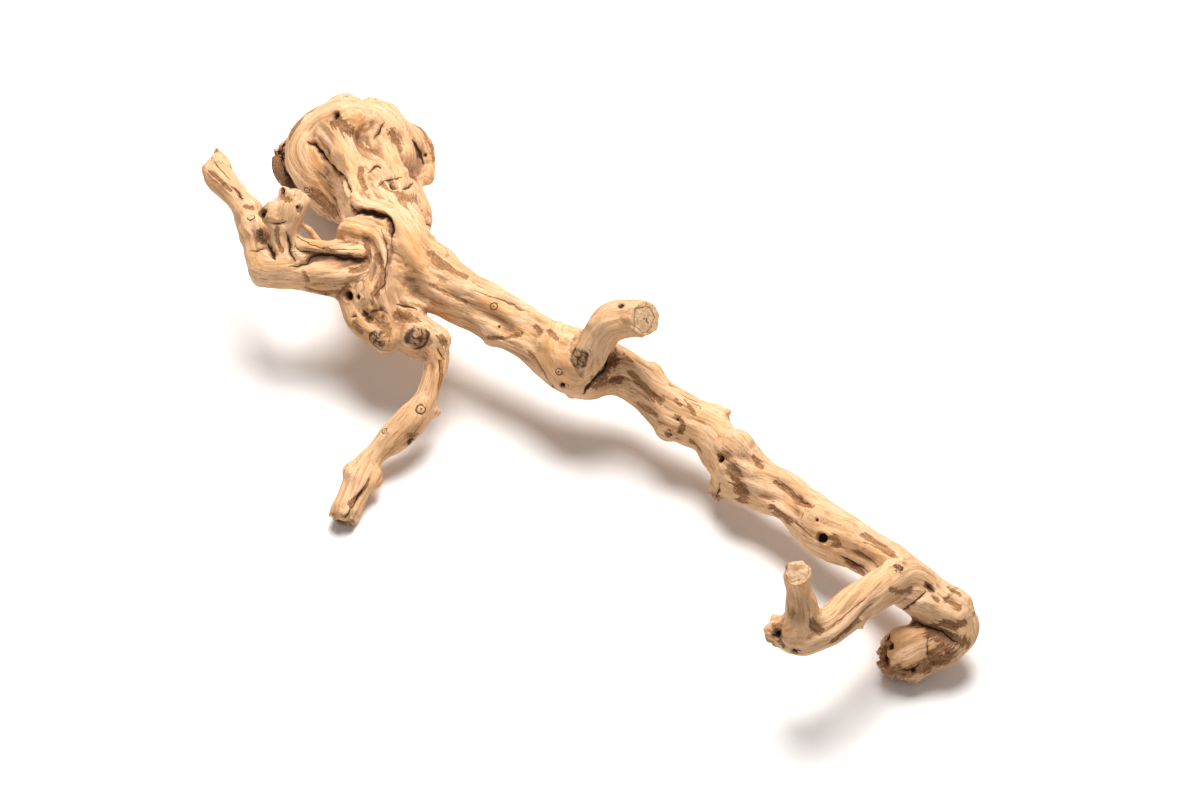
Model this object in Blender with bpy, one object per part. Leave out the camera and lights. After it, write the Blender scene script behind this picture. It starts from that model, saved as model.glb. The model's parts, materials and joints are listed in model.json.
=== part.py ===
# A dry, sand-blasted vine root that lies on three points: the underside of its crown burl,
# the tip of its leg and the knob under its folded far end.
# The wood grew as one piece, so the part is one closed body.
# Frame: +X along the trunk from the crown to the folded end, +Z up, the surface it lies on is Z = 0,
# and the origin is the middle of the bottom of the root's box.
import math

import bmesh
import bpy
from mathutils import Vector

MM = 0.001

NODE_NAME = "dry_root"
WOOD_COLOUR = (0.62, 0.42, 0.24, 1.0)
WOOD_ROUGHNESS = 0.8

SPAN_STEPS = 5        # rings between two points of a limb
RING_SIDES = 4        # bevel resolution of a limb's tube
LUMP_SUBDIVISIONS = 3
VOXEL = 2.4 * MM      # grain of the mesh that joins the limbs
SMOOTH_FACTOR = 0.5
SMOOTH_PASSES = 4
TARGET_TRIANGLES = 7200
FLOOR_Z = 0.0         # the limbs that reach below it are worn flat here
SNAP = 0.05 * MM      # points this close to the flats are taken into them
SLIVER = 0.02 * MM    # edges shorter than this are closed up

# Each limb is a tube through points (x, y, z, radius), in whole or half millimetres.
TRUNK = [
    (-176, 50, 38, 20), (-155, 42, 44, 20), (-116, 19, 52, 23), (-90, 21, 52, 17),
    (-71, 24, 50, 14), (-55, 28, 48, 13), (-34, 33, 46, 12), (-16, 34, 45, 15.5),
    (-1, 39, 43, 17), (12, 51, 39, 12.5), (24, 54, 37, 11.5), (36, 54, 35, 11),
    (49, 55, 33, 12.5), (66, 59, 31, 11), (80, 56, 29, 12), (94, 54, 27, 14.5),
    (108, 56, 26, 11.5), (121, 59, 26, 11), (136, 56, 26, 12), (150, 56, 27, 13),
    (166, 58, 28, 11), (185, 59, 29, 11.5), (204, 58, 29, 12), (219, 60, 27, 13),
]
END_KNOB = [(219, 60, 27, 13), (227, 58, 23, 10), (225, 49, 17, 11), (219, 42, 14, 13), (215, 36, 12, 13.5)]
HOOK = [
    (205, 56, 32, 11), (197, 51, 42, 10), (196, 34, 48, 9.5), (196, 15, 52, 9),
    (196, -1, 53, 9), (190, -11, 52, 10.5), (187, -14, 52, 10),
]
HOOK_STUB = [(189, -11, 56, 9), (187, -11, 70, 8), (182, -9, 86, 7)]
MID_STUB = [(4, 38, 50, 11), (6, 43, 66, 9), (9, 49, 76, 9.5), (17, 53, 81, 9.5), (23, 57, 83, 8.5)]
BROKEN_STUB = [(88, 47, 24, 8), (88, 40, 18, 5), (87, 37, 14, 3.5)]
ARM = [
    (-115, 14, 52, 18), (-122, -3, 55, 15), (-132, -17, 57, 13.5), (-143, -27, 58, 11),
    (-154, -35, 58, 10.5), (-168, -28, 60, 8), (-183, -21, 62, 8), (-195, -18, 64, 6.5),
    (-208, -17, 67, 8), (-219, -15, 69, 7), (-224, -13, 71, 4.5),
]
ARM_STUB = [(-146, -26, 60, 7), (-152, -24, 70, 7), (-154, -17, 80, 7), (-156, -11, 84, 7.5)]
HOLLOW_STUB = [(-154, -22, 78, 6), (-163, -23, 82, 5.5)]
BASE_FRONT = [(-109, -12, 48, 12), (-102, -19, 46, 8), (-90, -18, 43, 8), (-85, -9, 42, 9.5)]
BASE_BACK = [(-103, -5, 48, 14), (-91, -4, 44, 12)]
LEG = [
    (-84, -8, 42, 9.5), (-72, -5, 42, 10.5), (-61, -6, 39, 7.5), (-55, -14, 34, 6.5),
    (-50, -25, 28, 7), (-49, -37, 22, 8), (-52, -48, 18, 6.5), (-53, -60, 14, 7.5),
    (-48, -72, 12, 8), (-43, -83, 9, 8), (-38, -94, 6, 8),
]
LEFT_FOLD = [(-208, 65, 58, 10), (-214, 51, 51, 11), (-212, 41, 43, 11), (-200, 36, 37, 10.5), (-186, 37, 29, 8)]
MIDDLE_FOLD = [(-198, 66, 62, 10), (-191, 50, 59, 10), (-177, 47, 49, 11), (-158, 44, 42, 13)]
RIGHT_FOLD = [(-192, 81, 53, 10), (-175, 79, 45, 10), (-169, 69, 32, 10), (-148, 58, 30, 12)]
RIGHT_FLANGE = [(-182, 90, 45, 6), (-172, 86, 37, 5.5), (-166, 78, 29, 5.5)]
LEFT_FLANGE = [(-231, 44, 30, 6), (-226, 36, 26, 6.5), (-209, 31, 26, 6)]
BACK_FOLD = [(-199, 80, 57, 9), (-207, 87, 44, 10), (-210, 86, 28, 10), (-200, 80, 12, 9)]
SIDE_FOLD = [(-214, 72, 53, 9), (-222, 66, 38, 10), (-220, 58, 20, 10), (-208, 48, 12, 9)]
LOW_FOLD = [(-184, 74, 16, 12), (-168, 60, 18, 12), (-148, 46, 30, 13), (-124, 28, 40, 14)]

LIMBS = [
    TRUNK, END_KNOB, HOOK, HOOK_STUB, MID_STUB, BROKEN_STUB, ARM, ARM_STUB, HOLLOW_STUB,
    BASE_FRONT, BASE_BACK, LEG, LEFT_FOLD, MIDDLE_FOLD, RIGHT_FOLD, RIGHT_FLANGE, LEFT_FLANGE,
    BACK_FOLD, SIDE_FOLD, LOW_FOLD,
]

# Each lump is a ball (x, y, z, radius) that swells out of the limbs.
LUMPS = [
    (-195, 62, 31, 33),  # core of the crown burl
    (-132, 7, 66, 9),  # bump between the crown and the arm
    (213, 35, 12, 13.5),  # blunt end of the folded knob
    (-1, 31, 52, 10),  # swelling of the knot below the middle stub
    (-46, 22, 46, 8),  # swelling under the first stretch of the trunk
    (51, 46, 30, 7),  # knot on the lower side of the trunk
    (-85, -18, 42, 9),  # front knot of the base
    (-52, -75, 15, 6),  # left nub of the leg
    (-42, -68, 11, 6),  # right nub of the leg
    (178, -21, 52, 4),  # splintered nub at the end of the hook
]


def clear_scene():
    for item in list(bpy.data.objects):
        bpy.data.objects.remove(item, do_unlink=True)


def catmull_rom(before, start, end, after, t):
    return 0.5 * (
        2.0 * start
        + (end - before) * t
        + (2.0 * before - 5.0 * start + 4.0 * end - after) * t * t
        + (3.0 * start - before - 3.0 * end + after) * t ** 3
    )


def smooth_path(points):
    """Rings (x, y, z, radius) on a smooth curve through a limb's points."""
    ends = [points[0]] + list(points) + [points[-1]]
    path = []
    for index in range(1, len(ends) - 2):
        for step in range(SPAN_STEPS):
            t = step / SPAN_STEPS
            quad = [ends[index - 1], ends[index], ends[index + 1], ends[index + 2]]
            path.append(tuple(catmull_rom(*values, t) for values in zip(*quad)))
    path.append(points[-1])
    return path


def limb_mesh(points):
    """A closed tube whose radius follows the limb's points."""
    path = smooth_path(points)
    curve = bpy.data.curves.new("limb", "CURVE")
    curve.dimensions = "3D"
    curve.bevel_depth = MM
    curve.bevel_resolution = RING_SIDES
    curve.use_fill_caps = True
    spline = curve.splines.new("POLY")
    spline.points.add(len(path) - 1)
    for point, (x, y, z, radius) in zip(spline.points, path):
        point.co = (x * MM, y * MM, z * MM, 1.0)
        point.radius = radius
    holder = bpy.data.objects.new("limb", curve)
    mesh = bpy.data.meshes.new_from_object(holder)
    bpy.data.objects.remove(holder)
    return mesh


def add_lump(mesh_builder, x, y, z, radius):
    made = bmesh.ops.create_icosphere(mesh_builder, subdivisions=LUMP_SUBDIVISIONS, radius=radius * MM)
    bmesh.ops.translate(mesh_builder, vec=Vector((x, y, z)) * MM, verts=made["verts"])


def limbs_and_lumps():
    mesh_builder = bmesh.new()
    for points in LIMBS:
        mesh = limb_mesh(points)
        mesh_builder.from_mesh(mesh)
        bpy.data.meshes.remove(mesh)
    for x, y, z, radius in LUMPS:
        add_lump(mesh_builder, x, y, z, radius)
    joined = bpy.data.meshes.new("limbs")
    mesh_builder.to_mesh(joined)
    mesh_builder.free()
    return joined


def evaluated_mesh(holder):
    bpy.context.view_layer.update()
    graph = bpy.context.evaluated_depsgraph_get()
    return bpy.data.meshes.new_from_object(holder.evaluated_get(graph))


def grown_together(mesh):
    """One closed skin over all the limbs, thinned to the target number of triangles."""
    holder = bpy.data.objects.new("skin", mesh)
    bpy.context.scene.collection.objects.link(holder)
    remesh = holder.modifiers.new("join", "REMESH")
    remesh.mode = "VOXEL"
    remesh.voxel_size = VOXEL
    remesh.adaptivity = 0.0
    smooth = holder.modifiers.new("soften", "SMOOTH")
    smooth.factor = SMOOTH_FACTOR
    smooth.iterations = SMOOTH_PASSES
    dense = evaluated_mesh(holder)
    triangle_count = sum(len(face.vertices) - 2 for face in dense.polygons)
    thin = holder.modifiers.new("thin", "DECIMATE")
    thin.ratio = min(1.0, TARGET_TRIANGLES / triangle_count)
    skin = evaluated_mesh(holder)
    bpy.data.objects.remove(holder)
    bpy.data.meshes.remove(dense)
    return skin


def body_of(start):
    """All vertices that are joined to one vertex by edges."""
    found = {start}
    waiting = [start]
    while waiting:
        for edge in waiting.pop().link_edges:
            for vertex in edge.verts:
                if vertex not in found:
                    found.add(vertex)
                    waiting.append(vertex)
    return found


def without_pockets(mesh):
    """Keeps the outer skin only, so that no pocket stays sealed between two folds."""
    mesh_builder = bmesh.new()
    mesh_builder.from_mesh(mesh)
    highest = max(mesh_builder.verts, key=lambda vertex: vertex.co.z)
    outer = body_of(highest)
    pockets = [vertex for vertex in mesh_builder.verts if vertex not in outer]
    bmesh.ops.delete(mesh_builder, geom=pockets, context="VERTS")
    mesh_builder.to_mesh(mesh)
    mesh_builder.free()
    return mesh


def worn_flat(mesh):
    """Cuts the skin off level where it meets the surface and closes the flats."""
    mesh_builder = bmesh.new()
    mesh_builder.from_mesh(mesh)
    everything = mesh_builder.verts[:] + mesh_builder.edges[:] + mesh_builder.faces[:]
    cut = bmesh.ops.bisect_plane(
        mesh_builder, geom=everything, plane_co=(0, 0, FLOOR_Z), plane_no=(0, 0, 1),
        clear_inner=True, dist=SNAP,
    )
    rim = [item for item in cut["geom_cut"] if isinstance(item, bmesh.types.BMEdge)]
    for edge in rim:
        for vertex in edge.verts:
            vertex.co.z = FLOOR_Z
    bmesh.ops.edgeloop_fill(mesh_builder, edges=rim)
    bmesh.ops.triangulate(mesh_builder, faces=mesh_builder.faces[:])
    bmesh.ops.dissolve_degenerate(mesh_builder, dist=SLIVER, edges=mesh_builder.edges[:])
    bmesh.ops.triangulate(mesh_builder, faces=mesh_builder.faces[:])
    bmesh.ops.recalc_face_normals(mesh_builder, faces=mesh_builder.faces[:])
    mesh_builder.to_mesh(mesh)
    mesh_builder.free()
    return mesh


def wood():
    material = bpy.data.materials.new("wood")
    material.use_nodes = True
    shader = material.node_tree.nodes["Principled BSDF"]
    shader.inputs["Base Color"].default_value = WOOD_COLOUR
    shader.inputs["Roughness"].default_value = WOOD_ROUGHNESS
    shader.inputs["Metallic"].default_value = 0.0
    material.diffuse_color = WOOD_COLOUR
    return material


def main():
    clear_scene()
    mesh = worn_flat(without_pockets(grown_together(limbs_and_lumps())))
    mesh.name = NODE_NAME
    mesh.materials.append(wood())
    mesh.shade_smooth()
    root = bpy.data.objects.new(NODE_NAME, mesh)
    bpy.context.scene.collection.objects.link(root)


main()
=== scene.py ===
import json
import math

import bmesh
import bpy
import numpy as np
from mathutils import Matrix, Vector, noise
from mathutils.kdtree import KDTree

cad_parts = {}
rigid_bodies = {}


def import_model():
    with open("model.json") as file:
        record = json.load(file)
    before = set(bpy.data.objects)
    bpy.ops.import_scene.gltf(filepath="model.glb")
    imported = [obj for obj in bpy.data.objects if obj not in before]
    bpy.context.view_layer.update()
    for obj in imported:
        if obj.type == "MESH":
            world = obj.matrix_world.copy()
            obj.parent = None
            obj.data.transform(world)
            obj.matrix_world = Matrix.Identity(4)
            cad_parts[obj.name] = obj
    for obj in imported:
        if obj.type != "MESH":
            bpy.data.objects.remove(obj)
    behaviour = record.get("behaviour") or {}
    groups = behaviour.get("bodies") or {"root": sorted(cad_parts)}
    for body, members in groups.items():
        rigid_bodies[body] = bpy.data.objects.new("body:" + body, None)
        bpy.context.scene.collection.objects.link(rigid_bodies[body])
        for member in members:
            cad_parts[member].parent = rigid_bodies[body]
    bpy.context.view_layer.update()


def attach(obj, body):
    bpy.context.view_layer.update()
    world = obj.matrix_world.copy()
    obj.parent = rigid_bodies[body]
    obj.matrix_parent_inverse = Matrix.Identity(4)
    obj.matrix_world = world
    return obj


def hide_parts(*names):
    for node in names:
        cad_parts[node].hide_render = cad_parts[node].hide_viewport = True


for item in list(bpy.data.objects):
    bpy.data.objects.remove(item)
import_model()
print("frame loaded")

mm = 0.001
nodeName = "dry_root"

# stage: camera, light and floor

view = {
    "turn": 44.4,                       # degrees, 0 looks along +Y
    "tilt": 50.0,                       # degrees above the surface
    "distance": 1.42,                   # m from the place it aims at
    "aim": (0.010, 0.039, 0.027),       # m
    "lens": 85.0,                       # mm
}
studio = {
    "skyColour": (1.0, 0.99, 0.98),
    "skyStrength": 0.29,
    "keyDirection": (0.05, 0.34, 0.94),     # right, away from the camera, up
    "keyDistance": 1.3,                 # m
    "keySize": 0.85,                    # m across
    "keyPower": 31,                     # W
    "keyColour": (1.0, 0.975, 0.94),
    "floorColour": (0.93, 0.925, 0.925),
    "floorSize": 8.0,                   # m
}


def aheadOf(turn, tilt):
    # the direction of a level look along +Y after a turn and a tilt downwards
    return Vector((-math.sin(turn) * math.cos(tilt), math.cos(turn) * math.cos(tilt), -math.sin(tilt)))


def placeCamera():
    lens = bpy.data.cameras.new("camera")
    lens.lens = view["lens"]
    lens.sensor_width = 36.0
    lens.clip_start = 0.01
    camera = bpy.data.objects.new("camera", lens)
    ahead = aheadOf(math.radians(view["turn"]), math.radians(view["tilt"]))
    camera.location = Vector(view["aim"]) - ahead * view["distance"]
    camera.rotation_euler = ahead.to_track_quat("-Z", "Y").to_euler()
    bpy.context.scene.collection.objects.link(camera)
    bpy.context.scene.camera = camera


def placeLights():
    world = bpy.data.worlds.new("tent")
    world.use_nodes = True
    sky = world.node_tree.nodes["Background"]
    sky.inputs["Color"].default_value = (*studio["skyColour"], 1.0)
    sky.inputs["Strength"].default_value = studio["skyStrength"]
    bpy.context.scene.world = world
    key = bpy.data.lights.new("softbox", "AREA")
    key.shape = "DISK"
    key.size = studio["keySize"]
    key.energy = studio["keyPower"]
    key.color = studio["keyColour"]
    lamp = bpy.data.objects.new("softbox", key)
    toLight = Vector(studio["keyDirection"]).normalized()
    toLight.rotate(Matrix.Rotation(math.radians(view["turn"]), 3, "Z"))
    lamp.location = Vector(view["aim"]) + toLight * studio["keyDistance"]
    lamp.rotation_euler = (-toLight).to_track_quat("-Z", "Y").to_euler()
    bpy.context.scene.collection.objects.link(lamp)


def layFloor():
    maker = bmesh.new()
    bmesh.ops.create_grid(maker, x_segments=1, y_segments=1, size=studio["floorSize"] / 2)
    sheet = bpy.data.meshes.new("floor")
    maker.to_mesh(sheet)
    maker.free()
    floor = bpy.data.objects.new("floor", sheet)
    bpy.context.scene.collection.objects.link(floor)
    paper = bpy.data.materials.new("floorPaper")
    paper.use_nodes = True
    shader = paper.node_tree.nodes["Principled BSDF"]
    shader.inputs["Base Color"].default_value = (*studio["floorColour"], 1.0)
    shader.inputs["Roughness"].default_value = 0.9
    shader.inputs["Specular IOR Level"].default_value = 0.1
    sheet.materials.append(paper)


placeCamera()
placeLights()
layFloor()
bpy.context.scene.view_settings.view_transform = "Standard"
print("stage set")

# limbs: points (x, y, z, radius) in millimetres

limbs = {
    "trunk": [
        (-176, 50, 38, 20), (-155, 42, 44, 20), (-116, 19, 52, 23), (-90, 21, 52, 17),
        (-71, 24, 50, 14), (-55, 28, 48, 13), (-34, 33, 46, 12), (-16, 34, 45, 15.5), (-1, 39, 43, 17),
        (12, 51, 39, 12.5), (24, 54, 37, 11.5), (36, 54, 35, 11), (49, 55, 33, 12.5), (66, 59, 31, 11),
        (80, 56, 29, 12), (94, 54, 27, 14.5), (108, 56, 26, 11.5), (121, 59, 26, 11),
        (136, 56, 26, 12), (150, 56, 27, 13), (166, 58, 28, 11), (185, 59, 29, 11.5),
        (204, 58, 29, 12), (219, 60, 27, 13),
    ],
    "endKnob": [
        (219, 60, 27, 13), (227, 58, 23, 10), (225, 49, 17, 11), (219, 42, 14, 13),
        (215, 36, 12, 13.5),
    ],
    "hook": [
        (205, 56, 32, 11), (197, 51, 42, 10), (196, 34, 48, 9.5), (196, 15, 52, 9), (196, -1, 53, 9),
        (190, -11, 52, 10.5), (187, -14, 52, 10),
    ],
    "hookStub": [
        (189, -11, 54, 9.5), (186, -9, 60, 7.8), (183.5, -7.5, 66, 7.8), (181.5, -7, 73, 5.9),
        (180.5, -7, 80, 6.2), (180, -8, 88, 7.4),
    ],
    "midStub": [
        (4, 38, 50, 11), (5, 43, 65, 9.5), (8, 49, 75, 10), (17, 55, 79, 9.5), (26, 54, 87, 8.8),
    ],
    "brokenStub": [(90, 48, 25, 7), (85, 48, 20, 5), (86, 42, 11, 4.8)],
    "legSpur": [(-50, -68, 13, 4.5), (-55, -74, 10, 2.4)],
    "legNub": [(-48, -27, 24, 5), (-44, -21, 22, 2)],
    "topNub": [(62, 66, 36, 5), (69, 69, 40, 2)],
    "knobCorner": [(215, 35, 10, 9), (213, 27, 6, 4)],
    "hookNub": [(183, -11, 52, 4), (177, -14, 53, 2.8), (173, -16, 54, 2.6)],
    "hookUnder": [(200, 16, 47, 4), (203, 14, 46, 2.4)],
    "hookSplinter": [(185, -15, 48, 7), (179, -19, 47, 4.5)],
    "stubKnob": [(-155, -16, 80, 5.5), (-154, -8, 84, 5)],
    "stubHorn": [(-157, -14, 82, 4.5), (-164, -11, 86, 4)],
    "arm": [
        (-115, 14, 52, 18), (-122, -3, 55, 15), (-132, -17, 57, 13.5), (-143, -27, 58, 11),
        (-154, -35, 58, 10.5), (-168, -28, 60, 8), (-183, -21, 62, 8), (-195, -18, 64, 6.5),
        (-208, -17, 67, 7.6), (-216, -16, 68, 6.4), (-219, -15, 69, 3.5),
    ],
    "twigTip": [(-213, -12, 69, 4.5), (-220, -9, 70, 3.6), (-225, -6, 72, 1.4)],
    "twigCorner": [(-214, -18, 67, 5), (-220, -18, 68, 3.2)],
    "armStub": [(-146, -26, 60, 7), (-152, -24, 70, 7), (-154, -17, 80, 7), (-156, -11, 84, 7.5)],
    "hollowStub": [(-154, -21, 77, 6), (-161, -22, 80, 5.5), (-164, -25, 84, 5.2)],
    "baseFront": [(-109, -12, 48, 12), (-102, -19, 46, 8), (-90, -18, 43, 8), (-85, -9, 42, 9.5)],
    "baseBack": [(-103, -5, 48, 14), (-91, -4, 44, 12)],
    "leg": [
        (-84, -8, 42, 9.5), (-72, -5, 42, 10.5), (-61, -6, 39, 7.5), (-55, -14, 34, 5.8),
        (-51, -24, 28, 5.8), (-49, -35, 23, 8.4), (-51, -46, 18, 7.6), (-52, -58, 14, 6.2),
        (-48, -71, 12, 7.6), (-43, -83, 9, 7.4), (-38, -94, 6, 7.8),
    ],
    "leftFold": [
        (-208, 65, 58, 10), (-214, 51, 51, 11), (-212, 41, 43, 11), (-200, 36, 37, 10.5),
        (-186, 37, 29, 8),
    ],
    "middleFold": [(-198, 66, 62, 10), (-191, 50, 59, 10), (-177, 47, 49, 11), (-158, 44, 42, 13)],
    "rightFold": [(-192, 81, 53, 10), (-175, 79, 45, 10), (-169, 69, 32, 10), (-148, 58, 30, 12)],
    "rightFlange": [(-181, 88, 46, 6), (-170, 88, 40, 6.5), (-162, 80, 34, 6)],
    "leftFlange": [(-231, 44, 30, 6), (-226, 36, 26, 6.5), (-209, 31, 26, 6)],
    "backFold": [(-199, 79, 52, 9), (-207, 86, 42, 10), (-210, 86, 28, 10), (-200, 80, 12, 9)],
    "sideFold": [(-214, 72, 53, 9), (-222, 66, 38, 10), (-220, 58, 20, 10), (-208, 48, 12, 9)],
    "lowFold": [(-184, 74, 16, 12), (-168, 60, 18, 12), (-148, 46, 30, 13), (-124, 28, 40, 14)],
}
folds = {                               # ropes of wood that run along the surface
    "leftLobe": [
        (-200, 63, 63, 9), (-210, 56, 55, 11), (-212, 44, 47, 12), (-202, 37, 40, 12),
        (-189, 35, 36, 9.5), (-174, 32, 32, 7),
    ],
    "centreRope": [
        (-204, 54, 57, 8), (-187, 47, 59, 8.5), (-170, 39, 54, 9), (-152, 28, 58, 9),
        (-140, 22, 65, 8.5), (-129, 24, 67, 9), (-115, 22, 67, 9), (-102, 18, 66, 9),
        (-90, 17, 62, 9), (-74, 21, 59, 8),
    ],
    "crownTop": [(-199, 60, 65, 8), (-196, 68, 62, 9), (-184, 78, 54, 9), (-172, 76, 46, 8)],
    "shoulder": [
        (-178, 66, 51, 8), (-164, 58, 51, 8), (-148, 48, 54, 9), (-127, 36, 60, 9), (-108, 27, 65, 8),
        (-92, 24, 62, 8),
    ],
    "shelfBand": [
        (-132, 6, 69, 8), (-121, 10, 67, 8), (-109, 5, 64, 7.5), (-101, -6, 56, 7.5),
        (-92, -10, 50, 7),
    ],
    "innerBand": [(-112, 13, 69, 6), (-101, 7, 65, 7), (-93, 4, 56, 7), (-84, 9, 52, 6)],
    "armRidge": [(-146, -22, 69, 4), (-132, -13, 69, 4.5), (-122, -6, 68, 4.5), (-115, 3, 66, 5)],
    "baseKnotLow": [(-90, -13, 44, 7), (-92, -20, 47, 5.5)],
    "baseKnotSide": [(-72, -6, 45, 8), (-71, -11, 51, 6.5)],
    "armLower": [(-150, -38, 59, 7), (-139, -29, 61, 7), (-127, -20, 61, 8), (-115, -12, 56, 7)],
    "trunkUpper": [
        (-91, 20, 64, 6.5), (-77, 23, 60, 7.5), (-60, 30, 56, 7.5), (-43, 34, 53, 7.5),
        (-21, 35, 53, 7.5), (-4, 36, 55, 7),
    ],
    "trunkLower": [
        (-76, 16, 53, 6), (-60, 20, 52, 6.5), (-44, 23, 48, 7), (-26, 26, 47, 7), (-10, 24, 46, 7),
    ],
    "collar": [(-17, 37, 55, 7.5), (-12, 29, 52, 8), (-3, 27, 47, 9), (7, 31, 44, 8), (11, 38, 51, 7)],
    "trunkBeyond": [
        (14, 48, 48, 6.5), (31, 53, 42, 7), (50, 54, 40, 7), (66, 58, 36, 7), (84, 56, 36, 7),
        (101, 55, 34, 7),
    ],
    "recessRim": [
        (84, 53, 35, 5), (86, 49, 30, 5), (94, 45, 25, 5.5), (103, 47, 24, 5.5), (113, 50, 27, 6),
        (132, 50, 30, 6),
    ],
    "trunkFar": [
        (104, 56, 34, 6), (127, 60, 31, 6.5), (149, 59, 34, 7), (170, 59, 35, 7), (190, 58, 36, 7),
    ],
    "endFold": [(200, 45, 40, 7), (206, 49, 36, 7), (217, 53, 33, 7), (226, 57, 30, 7)],
    "endFoldLow": [(213, 37, 22, 6), (222, 44, 22, 7), (229, 52, 23, 6)],
}
cutEnds = ("midStub", "hookStub", "hollowStub", "leg", "hookNub", "brokenStub")     # limbs with a flat end
lumps = [                               # balls that swell out of the limbs
    (-195, 62, 31, 33), (-132, 7, 66, 9), (216, 37, 12, 12.5), (-1, 31, 52, 9), (-46, 22, 46, 7),
    (51, 46, 30, 6), (-85, -18, 42, 8), (-52, -74, 15, 5), (-43, -68, 11, 5), (178, -21, 52, 4),
    (-183, -21, 65, 8), (-172, -27, 63, 8.5), (-96, 0, 56, 8), (-105, -8, 54, 9), (-84, -2, 50, 8),
    (-64, -1, 45, 7), (-148, 44, 58, 8), (-136, 38, 62, 7), (87, 56, 38, 10), (143, 54, 33, 10),
    (25, 58, 40, 8.5), (-229, 44, 32, 6), (-152, -38, 58, 9.5),
]
splinter = [(-152, -16, 79, 1.3), (-146, -12, 73, 1.2), (-139, -11, 66, 1.6)]
skin = {
    "ringStep": 2.0,                    # mm between the rings of a limb
    "ringSides": 28,
    "voxel": 1.9,                       # mm, halved again by one subdivision
    "quickVoxel": 2.6,
    "fillPasses": 6,                    # rounds the corners where limbs meet
    "smoothPasses": 2,
    "mostTriangles": 196000,
}


def catmullRom(before, start, end, after, share):
    # a place between start and end on the smooth curve through all four
    return 0.5 * (
        2.0 * start + (end - before) * share
        + (2.0 * before - 5.0 * start + 4.0 * end - after) * share * share
        + (3.0 * start - before - 3.0 * end + after) * share ** 3
    )


def smoothPath(points, step):
    # evenly spaced rows along a smooth curve through the points
    points = np.array(points, float)
    ends = np.vstack([points[:1], points, points[-1:]])
    rows = []
    for index in range(1, len(ends) - 2):
        for share in np.linspace(0.0, 1.0, 12, endpoint=False):
            rows.append(catmullRom(*ends[index - 1:index + 3], share))
    rows.append(points[-1])
    rows = np.array(rows)
    run = np.concatenate([[0.0], np.cumsum(np.linalg.norm(np.diff(rows[:, :3], axis=0), axis=1))])
    count = max(2, int(round(run[-1] / step)) + 1)
    even = np.linspace(0.0, run[-1], count)
    columns = [np.interp(even, run, rows[:, column]) for column in range(rows.shape[1])]
    return np.stack(columns, axis=1), even


def pathFrames(path):
    # directions along a path and two sideways directions that turn as little as they can
    along = np.gradient(path[:, :3], axis=0)
    along /= np.linalg.norm(along, axis=1)[:, None]
    side = np.cross(along[0], (0.0, 0.0, 1.0))
    if np.linalg.norm(side) < 0.1:
        side = np.cross(along[0], (0.0, 1.0, 0.0))
    sides = []
    for direction in along:
        side = side - direction * np.dot(side, direction)
        side = side / np.linalg.norm(side)
        sides.append(side)
    sides = np.array(sides)
    return along, sides, np.cross(along, sides)


def roundedEnd(path, along, atStart):
    # three shrinking rows that close one end of a limb like half a ball
    row, ahead = (path[0], -along[0]) if atStart else (path[-1], along[-1])
    rows = []
    for angle in (30.0, 60.0, 82.0):
        reach, width = math.sin(math.radians(angle)), math.cos(math.radians(angle))
        rows.append(np.append(row[:3] + ahead * row[3] * reach, row[3] * width))
    return np.array(rows[::-1] if atStart else rows)


def growLimb(maker, name, points):
    # a closed tube through (x, y, z, radius) points, ring by ring
    path, _ = smoothPath(points, skin["ringStep"])
    frames = pathFrames(path)
    cap = roundedEnd(path, frames[0], True)
    path = np.vstack([cap, path])
    frames = [np.vstack([part[:1].repeat(len(cap), 0), part]) for part in frames]
    if name not in cutEnds:
        cap = roundedEnd(path, frames[0], False)
        path = np.vstack([path, cap])
        frames = [np.vstack([part, part[-1:].repeat(len(cap), 0)]) for part in frames]
    rim = None
    for row, ahead, side, up in zip(path, *frames):
        place = Matrix((
            (side[0], up[0], ahead[0], row[0]),
            (side[1], up[1], ahead[1], row[1]),
            (side[2], up[2], ahead[2], row[2]),
            (0.0, 0.0, 0.0, 1.0),
        ))
        spread = Matrix.Diagonal((row[3], row[3], 1, 1))
        if rim is None:
            disc = bmesh.ops.create_circle(
                maker, cap_ends=True, segments=skin["ringSides"], radius=row[3], matrix=place)["verts"]
            bmesh.ops.reverse_faces(maker, faces=disc[0].link_faces[:])
            rim = disc[0].link_faces[0].edges[:]
        else:
            grown = bmesh.ops.extrude_edge_only(maker, edges=rim)["geom"]
            ring = [item for item in grown if isinstance(item, bmesh.types.BMVert)]
            rim = [item for item in grown if isinstance(item, bmesh.types.BMEdge) and item.is_boundary]
            bmesh.ops.transform(maker, matrix=place @ spread @ last.inverted(), verts=ring)
        last = place @ spread
    bmesh.ops.contextual_create(maker, geom=rim)


def growRoot():
    # all limbs, folds and lumps, still as separate shells that cross each other
    maker = bmesh.new()
    for name, points in {**limbs, **folds}.items():
        growLimb(maker, name, points)
    for x, y, z, radius in lumps:
        ball = bmesh.ops.create_icosphere(maker, subdivisions=4, radius=radius)
        bmesh.ops.translate(maker, vec=(x, y, z), verts=ball["verts"])
    bmesh.ops.recalc_face_normals(maker, faces=maker.faces[:])
    mesh = bpy.data.meshes.new("rootSkin")
    maker.to_mesh(mesh)
    maker.free()
    return mesh


def withModifiers(mesh, settings):
    # the mesh after a list of (modifier type, {property: value}) pairs
    holder = bpy.data.objects.new("holder", mesh)
    bpy.context.scene.collection.objects.link(holder)
    for kind, values in settings:
        modifier = holder.modifiers.new(kind.lower(), kind)
        for name, value in values.items():
            setattr(modifier, name, value)
    bpy.context.view_layer.update()
    graph = bpy.context.evaluated_depsgraph_get()
    result = bpy.data.meshes.new_from_object(holder.evaluated_get(graph))
    bpy.data.objects.remove(holder)
    return result


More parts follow.
